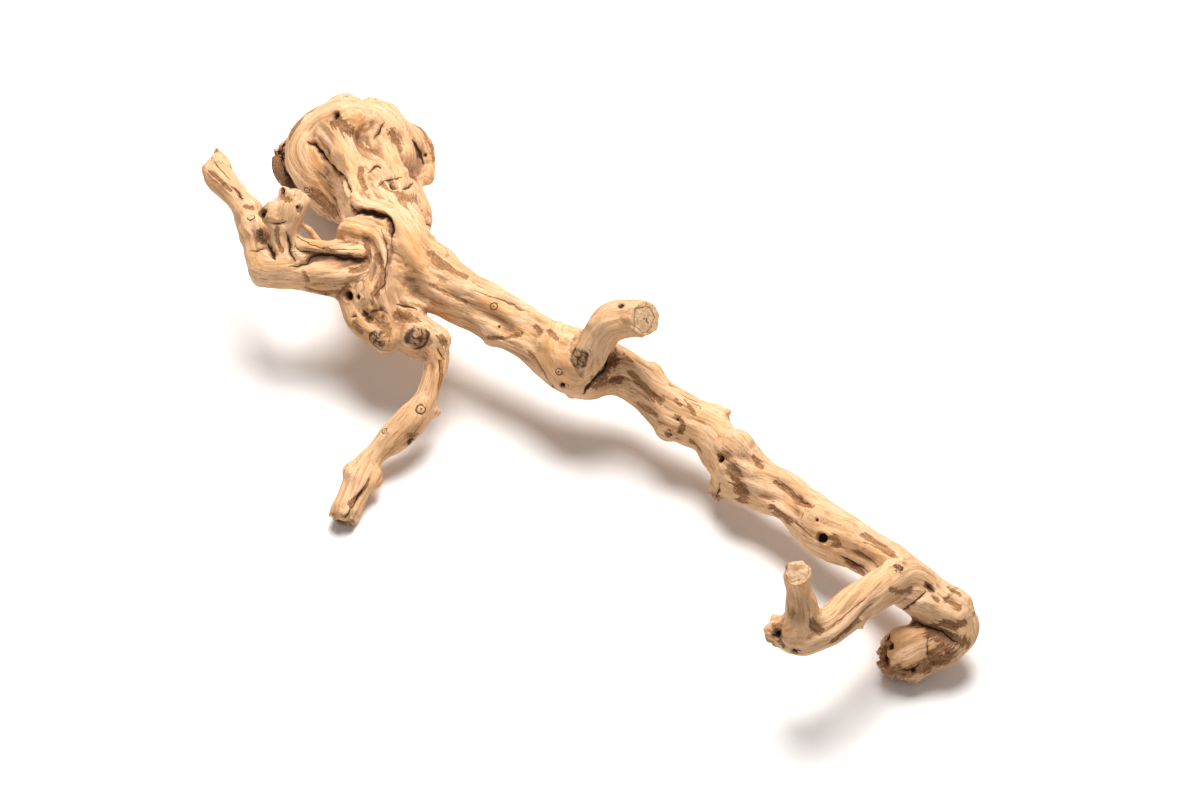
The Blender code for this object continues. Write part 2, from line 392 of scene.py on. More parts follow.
def outerBodyOnly(mesh):
    # drops the shells of pockets that stay sealed inside
    maker = bmesh.new()
    maker.from_mesh(mesh)
    top = max(maker.verts, key=lambda vertex: vertex.co.z)
    found = {top}
    waiting = [top]
    while waiting:
        for edge in waiting.pop().link_edges:
            for vertex in edge.verts:
                if vertex not in found:
                    found.add(vertex)
                    waiting.append(vertex)
    bmesh.ops.delete(maker, geom=[vertex for vertex in maker.verts if vertex not in found], context="VERTS")
    maker.to_mesh(mesh)
    maker.free()


class Surface:
    # the root's points, normals and neighbours as arrays, in millimetres

    def __init__(self, mesh):
        self.mesh = mesh
        count = len(mesh.vertices)
        self.place = np.empty(count * 3)
        mesh.vertices.foreach_get("co", self.place)
        self.place = self.place.reshape(-1, 3)
        edges = np.empty(len(mesh.edges) * 2, int)
        mesh.edges.foreach_get("vertices", edges)
        self.edges = edges.reshape(-1, 2)
        self.degree = np.bincount(self.edges.ravel(), minlength=count).astype(float)
        self.marks = {}
        self.readNormals()

    def readNormals(self):
        self.mesh.vertices.foreach_set("co", self.place.ravel())
        self.mesh.update()
        normals = np.empty(len(self.place) * 3)
        self.mesh.vertices.foreach_get("normal", normals)
        self.normal = normals.reshape(-1, 3)

    def average(self, values):
        # the mean of each point's neighbours
        first, second = self.edges.T
        flat = values.reshape(len(values), -1)
        result = np.empty_like(flat)
        for column in range(flat.shape[1]):
            total = np.bincount(first, weights=flat[second, column], minlength=len(flat))
            total += np.bincount(second, weights=flat[first, column], minlength=len(flat))
            result[:, column] = total / self.degree
        return result.reshape(values.shape)

    def smooth(self, passes, share=0.5):
        # moves each point part of the way to the middle of its neighbours
        for _ in range(passes):
            self.place += (self.average(self.place) - self.place) * share
        self.readNormals()

    def fillCorners(self, passes, share=0.5):
        # moves points of inner corners outwards only, which rounds the meeting of two limbs
        for _ in range(passes):
            shift = self.average(self.place) - self.place
            outward = np.einsum("ij,ij->i", shift, self.normal)
            self.place += self.normal * (np.clip(outward, 0.0, None) * share)[:, None]
            self.readNormals()


def softRoot():
    # one skin over all limbs, with rounded inner corners, at the full number of points
    voxel = skin["voxel"]
    coarse = withModifiers(growRoot(), [("REMESH", {"mode": "VOXEL", "voxel_size": voxel})])
    outerBodyOnly(coarse)
    rough = Surface(coarse)
    rough.fillCorners(skin["fillPasses"])
    rough.smooth(skin["smoothPasses"])
    fine = withModifiers(coarse, [("SUBSURF", {"levels": 1, "render_levels": 1})])
    maker = bmesh.new()
    maker.from_mesh(fine)
    growLimb(maker, "splinter", splinter)
    maker.to_mesh(fine)
    maker.free()
    return fine


# marks on the wood: places (x, y, z) in millimetres

# the dark line of each crack is painted shade
cracks = {                              # half width of the dark line, depth, spread, points
    "crownSplit": (1.05, 3.6, 1.15, [
        (-207, 40, 56), (-204, 42, 54), (-200, 43, 53), (-193, 42, 53), (-182, 39, 55), (-171, 34, 58),
        (-158, 25, 64), (-153, 23, 61), (-141, 18, 66), (-132, 19, 70), (-123, 20, 73), (-119, 19, 73),
        (-110, 12, 75),
    ]),
    "shelfSlit": (0.45, 1.2, 1, [(-183, 73, 63), (-182, 68, 60), (-181, 64, 59)]),
    "shelfHole": (0.8, 2.2, 1.2, [(-162, 43, 62), (-163, 49, 62), (-159, 49, 63)]),
    "shelfLine": (0.4, 1.2, 1, [(-147, 35, 67), (-148, 41, 66), (-147, 47, 64), (-149, 55, 60)]),
    "shelfCrack": (0.7, 2.2, 1.2, [(-147, 44, 64), (-139, 43, 66), (-141, 49, 61), (-156, 68, 41)]),
    "rimSlot": (1.3, 2.6, 1.5, [(-172, 82, 52), (-169, 82, 46), (-166, 82, 42), (-163, 82, 40)]),
    "flangeCrease": (1.2, 3.5, 1.8, [(-234, 46, 34), (-228, 38, 30), (-220, 33, 29), (-207, 30, 29)]),
    "neckCrack": (0.5, 1, 1, [(-140, 62, 35), (-137, 61, 28), (-111, 40, 57)]),
    "bodyCrease": (0.35, 1.1, 1.1, [
        (-120, 13, 74), (-108, 7, 71), (-102, 0, 67), (-98, -5, 63), (-98, -12, 60),
    ]),
    "bodyLine": (0.35, 0.9, 1, [(-110, 12, 75), (-106, 8, 71), (-100, 1, 67), (-95, -5, 63)]),
    "armCrack": (0.55, 1.8, 1.1, [
        (-139, -33, 67), (-135, -27, 66), (-134, -20, 67), (-128, -14, 67), (-120, -8, 67),
        (-113, -1, 67),
    ]),
    "armCrackMiddle": (0.4, 1.3, 1, [
        (-144, -23, 73), (-141, -24, 71), (-133, -18, 69), (-123, -10, 68), (-116, -4, 70),
    ]),
    "armCrackTop": (0.4, 1, 1, [
        (-146, -20, 74), (-143, -19, 73), (-133, -16, 72), (-125, -9, 71), (-118, -2, 72),
    ]),
    "stemCrack": (0.6, 1.6, 1.1, [(-149, -24, 78), (-146, -25, 71), (-142, -28, 69), (-137, -28, 67)]),
    "armCavity": (1.4, 2.8, 1.4, [(-157, -31, 69), (-153, -32, 67), (-146, -35, 68)]),
    "stubCrack": (0.5, 1.2, 1, [(-158, -26, 80), (-154, -25, 80), (-151, -21, 82)]),
    "twigCrack": (0.4, 1.2, 1, [(-217, -14, 73), (-209, -16, 74), (-201, -17, 73)]),
    "twigCrackLow": (0.4, 1, 1, [(-197, -18, 71), (-194, -18, 69), (-186, -21, 72)]),
    "elbowCrease": (0.4, 1.2, 1.1, [(-162, -39, 65), (-158, -35, 66), (-156, -31, 68)]),
    "underArmSlit": (0.5, 1.4, 1, [(-103, -25, 51), (-100, -23, 52)]),
    "baseCrack": (0.4, 1, 1, [(-96, -18, 53), (-93, -13, 54), (-88, -12, 54)]),
    "baseCrease": (0.7, 1.8, 1.3, [(-88, -7, 57), (-84, -3, 56), (-79, -1, 55)]),
    "legCrackTop": (0.45, 1, 1, [(-60, -6, 47), (-54, -7, 42)]),
    "legCrack": (0.35, 0.9, 1, [(-58, -8, 44), (-52, -12, 39), (-47, -19, 32)]),
    "legEndSlit": (0.8, 2.2, 1.2, [(-40, -75, 14), (-38, -84, 12), (-37, -93, 9)]),
    "cutFaceCrack": (0.3, 0.5, 0.9, [(25, 55, 86), (28, 56, 83)]),
    "collarCrease": (1.3, 2.6, 1.8, [(13, 45, 60), (14, 39, 54), (13, 31, 50), (12, 25, 43)]),
    "brokenStubCrack": (1, 2.5, 1.2, [(91, 40, 29), (88, 42, 15)]),
    "foldCrease": (0.8, 2, 1.5, [
        (206, 40, 22), (208, 47, 21), (219, 46, 28), (227, 49, 27), (234, 50, 26),
    ]),
    "hookCrease": (0.6, 1.8, 1.3, [(203, 46, 26), (209, 45, 40), (211, 52, 43)]),
    "knobLine": (0.3, 0.8, 1, [(221, 44, 28), (225, 38, 24), (229, 37, 19)]),
    "knobCrack": (1.1, 2.4, 1.4, [(206, 35, 20), (208, 32, 17), (212, 28, 16), (213, 24, 13)]),
    "knobLowCrack": (0.5, 1.2, 1.1, [(220, 27, 15), (223, 31, 16), (226, 33, 19)]),
    "endSlit": (0.6, 1.4, 1.1, [(208, 55, 43), (213, 56, 40)]),
    "farSlit": (0.55, 1.2, 1.1, [(162, 46, 31), (169, 50, 29), (179, 48, 31)]),
    "trunkCrackUpper": (0.25, 0.7, 1, [(-64, 22, 64), (-55, 28, 61), (-45, 33, 59), (-34, 34, 60)]),
    "trunkCrackFar": (0.25, 0.7, 1, [(113, 56, 37), (121, 57, 35), (137, 54, 40)]),
    "hookCrack": (0.3, 0.8, 1, [(199, -7, 59), (200, 7, 60), (200, 21, 59)]),
}
folding = {                             # depth (a ridge is negative), spread, points
    "besideSplit": (1, 3.5, [
        (-198, 42, 57), (-182, 37, 62), (-174, 35, 57), (-165, 28, 54), (-145, 19, 64), (-131, 19, 71),
        (-120, 18, 74),
    ]),
    "lobeValley": (1.6, 5, [(-189, 55, 68), (-184, 58, 60), (-178, 58, 57), (-168, 58, 58)]),
    "shelfValley": (2, 4, [
        (-170, 39, 64), (-159, 31, 63), (-145, 26, 69), (-133, 27, 72), (-124, 31, 72),
    ]),
    "shoulderValley": (1.4, 3.5, [
        (-142, 62, 39), (-117, 41, 57), (-95, 22, 70), (-84, 16, 67), (-73, 15, 63),
    ]),
    "bodyValley": (1.3, 3, [(-109, 11, 75), (-100, 6, 69), (-91, 4, 61), (-82, 4, 56)]),
    "bandValley": (1.5, 3, [(-125, 10, 74), (-116, 5, 70), (-109, -1, 66), (-102, -10, 63)]),
    "armTopValley": (1.4, 2.6, [(-138, -25, 69), (-131, -17, 67), (-121, -10, 66), (-113, -2, 66)]),
    "recessCarve": (1.6, 3, [(92, 46, 38), (97, 45, 34), (101, 45, 29), (104, 43, 26)]),
    "farRim": (-1.2, 1.9, [(155, 58, 42), (164, 54, 41), (167, 50, 34)]),
    "farRimValley": (0.9, 1.8, [(157, 61, 41), (166, 56, 40), (169, 52, 34)]),
    "underLobe": (1.5, 4, [(-191, 29, 39), (-180, 29, 36), (-171, 28, 36)]),
    "trunkValley": (1.2, 3, [(-82, 15, 66), (-70, 15, 61), (-57, 20, 57), (-44, 23, 54), (-31, 24, 54)]),
    "trunkValleyTop": (0.9, 2.6, [(-83, 25, 68), (-66, 26, 63), (-53, 31, 61), (-35, 34, 60)]),
    "collarValley": (1.3, 3.5, [(-27, 34, 59), (-22, 26, 55), (-13, 20, 52)]),
    "beyondValley": (1.2, 3, [(17, 40, 52), (28, 46, 42), (42, 45, 42)]),
    "beyondValleyTop": (1, 2.5, [(15, 58, 48), (31, 57, 46), (48, 60, 43), (62, 59, 43)]),
    "farValley": (1, 2.6, [(98, 55, 41), (113, 55, 36), (133, 55, 36)]),
    "farValleyLow": (1, 2.6, [(110, 47, 31), (123, 48, 32), (137, 47, 35)]),
    "lastValley": (1.2, 2.8, [(162, 51, 39), (174, 53, 35), (192, 41, 56)]),
    "lastValleyTop": (0.9, 2.4, [(162, 59, 40), (179, 59, 40), (199, 50, 53)]),
    "endValley": (1.4, 3.2, [(212, 50, 42), (219, 56, 39), (228, 59, 36)]),
    "hookValley": (1, 2.6, [(194, -8, 62), (195, -13, 58), (195, -19, 55)]),
    "hookWaist": (1.1, 2.6, [(181, -13, 65), (186, -12, 66), (189, -7, 68)]),
    "hookLong": (0.8, 2.2, [(203, -7, 55), (203, 10, 55), (203, 25, 55)]),
    "legValley": (0.8, 2, [(-59, -12, 41), (-52, -17, 37), (-47, -25, 32)]),
    "crownSideValley": (1.5, 4, [(-177, 81, 57), (-170, 79, 51), (-164, 77, 41), (-155, 68, 39)]),
    "crownTopValley": (1, 3.5, [(-216, 59, 63), (-212, 48, 61), (-209, 38, 57)]),
    "orangeValley": (0.8, 3, [(-193, 34, 50), (-188, 34, 41), (-172, 29, 40)]),
    "splitLipRidge": (-1.6, 2.4, [
        (-189, 41, 64), (-176, 38, 66), (-166, 35, 63), (-151, 23, 67), (-138, 18, 72), (-129, 21, 74),
        (-118, 21, 78), (-108, 16, 76),
    ]),
    "shelfRidge": (-1.2, 2.4, [(-171, 48, 61), (-160, 52, 63), (-154, 60, 58), (-159, 72, 36)]),
    "bandRidge": (-1, 2.2, [(-122, 13, 74), (-112, 10, 74)]),
    "armRidgeTop": (-0.9, 1.6, [(-141, -22, 73), (-132, -16, 71), (-121, -9, 72), (-116, -1, 70)]),
    "armRidgeLow": (-1, 3, [(-132, -32, 64), (-122, -24, 67), (-114, -14, 64)]),
    "bodyRidge": (-1.2, 3, [(-111, 21, 76), (-98, 13, 75), (-86, 11, 68), (-73, 12, 61), (-62, 17, 57)]),
    "trunkRidge": (-0.9, 2.2, [(-87, 23, 69), (-69, 21, 66), (-54, 25, 62), (-38, 28, 58)]),
    "beyondRidge": (-0.9, 2, [(11, 52, 53), (30, 51, 50), (46, 53, 47), (58, 56, 43)]),
    "lastRidge": (-0.9, 2.2, [(155, 52, 40), (171, 52, 39), (194, 43, 56)]),
    "endRidge": (-1.1, 2.2, [(207, 42, 40), (213, 49, 42), (220, 54, 39), (229, 57, 36)]),
    "legRidge": (-0.7, 1.6, [(-54, -10, 40), (-49, -17, 35), (-45, -23, 29)]),
}
spots = {                               # kind, place, radius, depth
    "crownPit": ("hole", (-199, 55, 69), 2.3, 3.4),
    "crownChip": ("hole", (-211, 73, 63), 1.6, 1),
    "lobeSpot": ("ring", (-194, 27, 39), 1.5, 0.3),
    "twigRing": ("ring", (-174, -27, 72), 2.1, 0.6),
    "twigKnot": ("star", (-164, -29, 71), 1.9, 0.9),
    "hollowEnd": ("hole", (-162, -25, 81), 2.5, 3.2),
    "stubHollow": ("hole", (-163, -12, 87), 1.7, 1.6),
    "stubPit": ("hole", (-151, -14, 87), 1, 1),
    "bodyHole": ("hole", (-111, -15, 53), 2.3, 5),
    "bodyHoleSide": ("hole", (-105, -17, 58), 1.2, 2),
    "starKnotSmall": ("star", (-84, -25, 48), 4.4, 0.9),
    "starKnotLarge": ("star", (-64, -13, 55), 5.6, 1),
    "legRing": ("ring", (-46, -31, 32), 2.5, 0.7),
    "legKnot": ("hole", (-42, -43, 20), 1.9, 1.6),
    "legSpot": ("ring", (-53, -50, 24), 1.4, 0.3),
    "legEndHole": ("hole", (-40, -92, 3), 2, 2.5),
    "collarStar": ("star", (5, 29, 62), 4.6, 0.9),
    "collarHole": ("hole", (3, 19, 48), 1.4, 2),
    "collarRing": ("ring", (-1, 21, 53), 1.8, 0.4),
    "collarNose": ("hole", (11, 50, 56), 1.5, 1.6),
    "stubRing": ("hole", (12, 52, 86), 1.6, 1),
    "stubFace": ("cut", (25, 54, 86), 6.2, 0),
    "pinHole": ("hole", (-43, 22, 53), 0.75, 1),
    "faintKnot": ("ring", (-50, 25, 60), 1.9, 0.2),
    "lowKnot": ("star", (55, 41, 35), 2, 0.8),
    "crescentHole": ("hole", (55, 47, 41), 0.8, 1.2),
    "dotHole": ("hole", (59, 60, 42), 0.5, 0.4),
    "recessHole": ("hole", (86, 49, 36), 2, 3),
    "farPin": ("hole", (145, 50, 40), 0.9, 1.4),
    "farHole": ("hole", (152, 48, 34), 2.5, 4.2),
    "hookKnot": ("star", (198, 46, 56), 2.3, 1),
    "hookTopFace": ("cut", (180, -7, 86), 5.6, 0),
    "hookUnderHole": ("hole", (193, -21, 52), 1.6, 1.6),
    "hookEndHole": ("hole", (183, -20, 54), 1.9, 2),
    "knobHole": ("hole", (210, 29, 21), 1.9, 3),
    "knobLowHole": ("hole", (223, 31, 15), 1.2, 1.6),
    "rimHole": ("hole", (-165, 84, 43), 0.9, 1.2),
    "neckSpot": ("hole", (-90, 37, 57), 0.8, 0.5),
}
patches = {                             # half width, darkness, points
    "crownPitRim": (3.8, 0.7, [(-198, 53, 67), (-191, 52, 69), (-187, 54, 66)]),
    "shelfPatch": (2.9, 0.35, [(-178, 73, 61), (-174, 73, 55), (-170, 72, 52)]),
    "shelfStreak": (1.3, 0.15, [(-184, 55, 60), (-180, 56, 57), (-174, 60, 56)]),
    "rimBand": (2.2, 0.35, [(-184, 92, 49), (-174, 93, 48), (-166, 91, 44), (-162, 88, 39)]),
    "shelfRough": (3.6, 0.25, [(-133, 39, 70), (-129, 42, 67), (-134, 50, 57)]),
    "shelfRoughLow": (1.6, 0.15, [(-149, 39, 66), (-142, 39, 67), (-134, 39, 70)]),
    "shelfLoop": (1.6, 0.2, [(-168, 43, 61), (-162, 37, 61), (-152, 32, 64)]),
    "lobeUnder": (4, 0.35, [(-191, 27, 38), (-183, 28, 35), (-174, 28, 34)]),
    "flangeBark": (6.5, 1, [(-233, 39, 32), (-226, 32, 30), (-217, 30, 28), (-206, 30, 29)]),
    "flangeTop": (1.5, 0.4, [(-219, 59, 60), (-220, 52, 59), (-218, 43, 58), (-218, 37, 53)]),
    "twigStrip": (1.6, 0.25, [(-213, -21, 73), (-208, -21, 73), (-203, -21, 72), (-197, -20, 70)]),
    "twigTipPatch": (1.2, 0.3, [(-223, -7, 72), (-222, -12, 71)]),
    "twigLower": (1.2, 0.2, [(-196, -18, 70), (-191, -19, 69)]),
    "elbowPatch": (1.2, 0.3, [(-182, -24, 72), (-178, -21, 71)]),
    "knotSide": (1.8, 0.4, [(-164, -31, 67), (-159, -30, 68)]),
    "stubPatch": (1.6, 0.5, [(-165, -12, 88), (-160, -15, 88), (-155, -15, 89)]),
    "bandDark": (1.8, 0.6, [(-122, 5, 71), (-117, 2, 69), (-114, -2, 67)]),
    "bodyPatch": (2.2, 0.35, [(-112, 3, 68), (-103, -1, 67), (-99, -6, 64), (-98, -12, 60)]),
    "armLowPatch": (2.2, 0.35, [(-129, -31, 57), (-123, -26, 54), (-116, -21, 57), (-112, -17, 60)]),
    "armSide": (1.2, 0.15, [(-132, -29, 66), (-127, -30, 63)]),
    "armFarPatch": (1.6, 0.3, [(-116, -12, 65), (-112, -6, 65), (-114, -1, 68)]),
    "basePatch": (2.6, 0.3, [(-94, -17, 52), (-87, -17, 51), (-82, -18, 49)]),
    "basePatchRight": (3, 0.25, [(-85, -9, 54), (-80, -7, 54), (-74, -6, 54)]),
    "baseLeft": (1.8, 0.35, [(-100, -25, 50), (-94, -26, 47)]),
    "kneePatch": (2.4, 0.35, [(-62, -3, 51), (-58, -2, 47)]),
    "legTopStreak": (1, 0.1, [(-56, -9, 42), (-50, -13, 36), (-47, -20, 29)]),
    "legLow": (1.5, 0.3, [(-44, -44, 24), (-42, -38, 22)]),
    "legFoot": (1.4, 0.3, [(-42, -71, 15), (-40, -79, 13), (-38, -88, 13)]),
    "trunkPatch": (2.9, 0.3, [(-93, 22, 69), (-84, 21, 68), (-77, 24, 66), (-72, 26, 64)]),
    "trunkStreak": (1, 0.05, [(-81, 10, 64), (-71, 14, 61), (-62, 18, 59)]),
    "smear": (1.5, 0.35, [(-44, 15, 49), (-37, 20, 51), (-30, 25, 55)]),
    "collarPatch": (1.5, 0.2, [(-28, 31, 58), (-23, 30, 57)]),
    "collarPatchLow": (1.5, 0.25, [(-20, 33, 59), (-12, 31, 60)]),
    "trunkLowStreak": (1, 0.1, [(-22, 21, 51), (-9, 19, 48), (-6, 22, 37)]),
    "besideStub": (3.4, 1, [(13, 45, 55), (15, 37, 53), (14, 31, 50)]),
    "besideStubTail": (2, 0.6, [(12, 28, 47), (17, 35, 47), (20, 44, 45)]),
    "beyondTop": (1.3, 0.2, [(13, 52, 52), (20, 51, 53)]),
    "beyondPatch": (2.5, 0.35, [(23, 48, 50), (28, 48, 47), (32, 49, 45)]),
    "beyondPatchLong": (2.3, 0.3, [(33, 48, 45), (39, 48, 44), (44, 49, 45)]),
    "beyondLow": (1.7, 0.3, [(31, 45, 37), (38, 45, 37), (45, 44, 39)]),
    "edgePatch": (1.4, 0.25, [(38, 60, 44), (45, 64, 40)]),
    "bandPatch": (1.3, 0.25, [(51, 57, 45), (56, 56, 44), (60, 54, 42)]),
    "bandPatchLow": (1.2, 0.25, [(48, 52, 47), (53, 52, 45)]),
    "crescent": (1.6, 0.45, [(53, 48, 41), (58, 48, 40), (59, 46, 35)]),
    "lowEdge": (1.2, 0.3, [(64, 47, 33), (72, 47, 32)]),
    "hillPatch": (1.7, 0.2, [(98, 56, 41), (101, 56, 39), (104, 56, 38)]),
    "longRecess": (3.6, 0.45, [(92, 46, 38), (97, 45, 34), (101, 45, 29), (104, 43, 26)]),
    "recessTop": (2.2, 0.4, [(83, 47, 38), (89, 48, 41)]),
    "farStreak": (1, 0.25, [(113, 55, 36), (120, 56, 34), (128, 55, 34)]),
    "farStreakWide": (1.5, 0.3, [(129, 55, 34), (139, 53, 41)]),
    "farPatch": (2.1, 0.4, [(119, 46, 30), (125, 46, 30), (132, 46, 30)]),
    "farHoleRim": (2.8, 0.45, [(156, 49, 38), (160, 48, 35)]),
    "lastPatch": (2.6, 0.3, [(167, 59, 40), (172, 58, 40), (179, 58, 40), (185, 58, 40)]),
    "lowPatch": (1.7, 0.35, [(166, 48, 29), (171, 49, 28), (177, 48, 28)]),
    "endRecess": (1.6, 0.5, [(214, 52, 41), (217, 54, 40)]),
    "endSlitDark": (1.3, 0.4, [(208, 54, 44), (210, 56, 40)]),
    "endPatch": (2.2, 0.35, [(218, 58, 38), (223, 58, 37), (226, 59, 37)]),
    "endTopStreak": (1, 0.3, [(215, 63, 38), (222, 64, 38)]),
    "foldDark": (2.4, 0.5, [(223, 50, 33), (228, 53, 32), (231, 57, 32)]),
    "underFold": (4.2, 0.85, [(221, 45, 28), (226, 47, 27), (232, 49, 26)]),
    "knobRough": (3, 0.5, [(207, 33, 19), (209, 29, 16), (212, 24, 14)]),
    "knobBottom": (3.4, 0.4, [(219, 24, 15), (223, 31, 15), (227, 36, 17), (229, 40, 22)]),
    "bendInner": (3.2, 0.85, [(223, 46, 28), (227, 49, 27), (233, 50, 27), (236, 54, 24)]),
    "knobRight": (3.4, 0.6, [(229, 43, 25), (233, 45, 23), (234, 43, 18)]),
    "knobRimLow": (3.2, 0.45, [
        (216, 24, 12), (222, 26, 14), (226, 32, 14), (229, 38, 17), (233, 42, 19),
    ]),
    "knobRimLeft": (2.3, 0.5, [(208, 30, 17), (210, 26, 15), (213, 24, 12)]),
    "stubStem": (1.4, 0.35, [(-153, -26, 79), (-151, -29, 74), (-146, -30, 70)]),
    "stubEar": (1.4, 0.5, [(-150, -12, 87), (-149, -15, 86)]),
    "knobRed": (1.8, 0.3, [(228, 41, 24), (232, 42, 22)]),
    "hookPatch": (2.4, 0.4, [(192, -10, 63), (194, -10, 60), (197, -9, 58)]),
    "hookEndPatch": (2.4, 0.55, [(180, -19, 57), (184, -21, 55), (187, -22, 52)]),
    "hookLow": (1.3, 0.3, [(203, -7, 55), (203, 2, 55), (204, 10, 54)]),
    "hookKnee": (1.4, 0.25, [(203, 33, 55), (204, 40, 48), (206, 47, 45)]),
}
stains = {                              # radius, points
    "orangeStreak": (3.2, [(-195, 34, 50), (-190, 33, 45), (-184, 32, 40)]),
    "shelfTint": (4, [(-193, 57, 72), (-188, 61, 68)]),
    "bumpTint": (4, [(-129, 1, 75), (-124, 4, 74), (-120, 7, 72)]),
    "armTint": (2.2, [(-142, -19, 73), (-132, -14, 72)]),
    "faintTint": (3, [(-55, 24, 62), (-46, 25, 59)]),
    "holeTint": (2.4, [(154, 45, 33), (157, 45, 33)]),
    "baseTint": (4, [(-82, -8, 54), (-93, -19, 51)]),
    "hookFaceTint": (2.2, [(180, -8, 85)]),
    "bodyTint": (5, [(-103, 21, 75), (-91, 12, 72)]),
    "knobTint": (3, [(215, 27, 17), (208, 33, 21)]),
    "legTint": (2.5, [(-58, -7, 45), (-50, -15, 37)]),
    "collarTint": (4, [(-10, 26, 60), (2, 23, 54)]),
    "trunkTint": (4, [(-43, 25, 57), (-33, 25, 54)]),
}
nubs = {                                # height, spread, place
    "topNub": (2.6, 1.6, (70, 67, 42)),
    "farNub": (2, 1.3, (180, 64, 40)),
    "farNubEnd": (2.2, 1.3, (195, 58, 51)),
    "hookLowNub": (1.6, 1.4, (205, 11, 53)),
    "legNubLeft": (2.2, 2.2, (-49, -78, 20)),
    "legNubRight": (1.6, 1.8, (-42, -64, 15)),
    "legNub": (1.6, 1.6, (-43, -23, 25)),
    "tipBump": (1.8, 2.6, (-192, 58, 72)),
    "trunkBump": (1.4, 2.4, (-44, 17, 53)),
    "recessBump": (1.6, 1.7, (88, 43, 37)),
    "recessBumpLow": (1.5, 1.5, (93, 45, 36)),
    "baseBump": (1.5, 2.5, (-60, -2, 50)),
    "bodyBump": (1, 3, (-125, 3, 75)),
    "ringBump": (1.2, 3, (-46, -31, 32)),
    "lowKnotBump": (1.2, 3, (55, 42, 36)),
    "collarBump": (1, 4.5, (5, 29, 62)),
    "twigBump": (2, 2.8, (-174, -27, 72)),
    "twigKnotBump": (1.8, 2.4, (-164, -29, 71)),
    "shelfBumpA": (1.6, 4, (-152, 50, 65)),
    "shelfBumpB": (1.6, 3.5, (-149, 39, 66)),
    "shelfBumpC": (1.8, 4, (-133, 42, 70)),
    "shelfBumpD": (1.6, 4, (-179, 72, 60)),
    "legKnotBump": (1.6, 3, (-42, -43, 20)),
    "hookKnotBump": (1.4, 3.4, (198, 46, 56)),
    "farHoleBump": (1.8, 6, (153, 48, 32)),
    "bodyHoleRim": (1.2, 3.5, (-100, -16, 58)),
    "starBumpSmall": (1.2, 4, (-85, -25, 48)),
    "starBumpLarge": (1.2, 4.5, (-64, -13, 55)),
    "edgeNub": (1.2, 1.5, (-44, 35, 60)),
    "neckNub": (1.3, 1.8, (-137, 60, 28)),
    "trunkLowNub": (1.6, 2.2, (-46, 14, 46)),
    "collarLowNub": (1.2, 2, (4, 24, 35)),
    "foldNub": (1.2, 2.2, (215, 50, 42)),
    "knobNub": (1.5, 3, (212, 24, 13)),
    "hookNub": (1.2, 1.8, (180, -20, 56)),
    "upperNub": (1, 1.5, (1, 39, 77)),
    "kneeNub": (1.3, 2, (-56, -3, 45)),
    "shelfNub": (1.2, 2.2, (-151, 45, 66)),
    "shelfNubLow": (1.2, 2.4, (-131, 40, 70)),
}
carving = {
    "outOfReach": 9.0,                  # value stored away from any line or spot
    "strokeStep": 0.8,                  # mm between the places that a line is laid through
    "folding": 1.5,                     # strength of the folds
    "crackWidth": 0.62,                 # share of the listed width and depth
    "crackDepth": 0.8,
    "crackWobble": 0.6,                 # mm to either side
    "lipHeight": 0.12,                  # share of the depth that stands up beside a crack or pit
    "grainTwist": 0.010,                # radians of turn per mm along a limb
    "coarseRidge": 1.0,                 # mm, long soft ridges
    "coarseGrain": (32.0, 4.6, 3.1),    # mm, their length and width, and where the noise starts
    "fineRidge": 0.45,                  # mm, narrow ridges
    "fineGrain": (16.0, 2.1, 11.7),
    "crease": 0.65,                     # mm, sharp lines between fibres
    "creaseGrain": (62.0, 6.0, 23.0),
    "lumpiness": 1.1,                   # mm, uneven swelling
    "lumpSize": 13.0,                   # mm
    "patchDepth": 0.45,                 # mm, where the brown under-layer shows
    # the painted shade in the hollows is measured over these passes
    "hollows": ((5, 0.35), (20, 0.9), (60, 2.6)),   # smoothing passes, mm that count as sunk
    "rough": (                          # place, radius, height of broken wood
        ((213, 29, 5), 17.0, 1.7), ((229, 41, 17), 9.0, 1.4),
        ((86, 42, 11), 7.0, 1.8), ((178, -19, 47), 7.0, 1.4),
        ((-157, -11, 85), 8.0, 1.3), ((-163, -23, 82), 6.0, 0.9), ((-38, -92, 7), 9.0, 1.2),
        ((-229, 44, 32), 11.0, 1.5), ((-96, -14, 50), 10.0, 0.9), ((180, -8, 86), 7.0, 0.7),
    ),
}
saws = {                                # place, facing, radius of the cut ends
    "midStub": ((25, 54, 86), (0.76, -0.05, 0.65), 9),
    "hookStub": ((180, -9, 87), (0.0, -0.35, 0.94), 9),
    "hollowStub": ((-164, -25, 84), (-0.35, -0.6, 0.7), 7),
}


def nearestAmong(places):
    # finds the nearest of these places
    tree = KDTree(len(places))
    for index, place in enumerate(places.tolist()):
        tree.insert(place, index)
    tree.balance()
    return tree


def noiseAt(places, size, aside=(0.0, 0.0, 0.0)):
    aside = Vector(aside)
    return np.array([noise.noise(Vector(place) / size + aside) for place in places.tolist()])


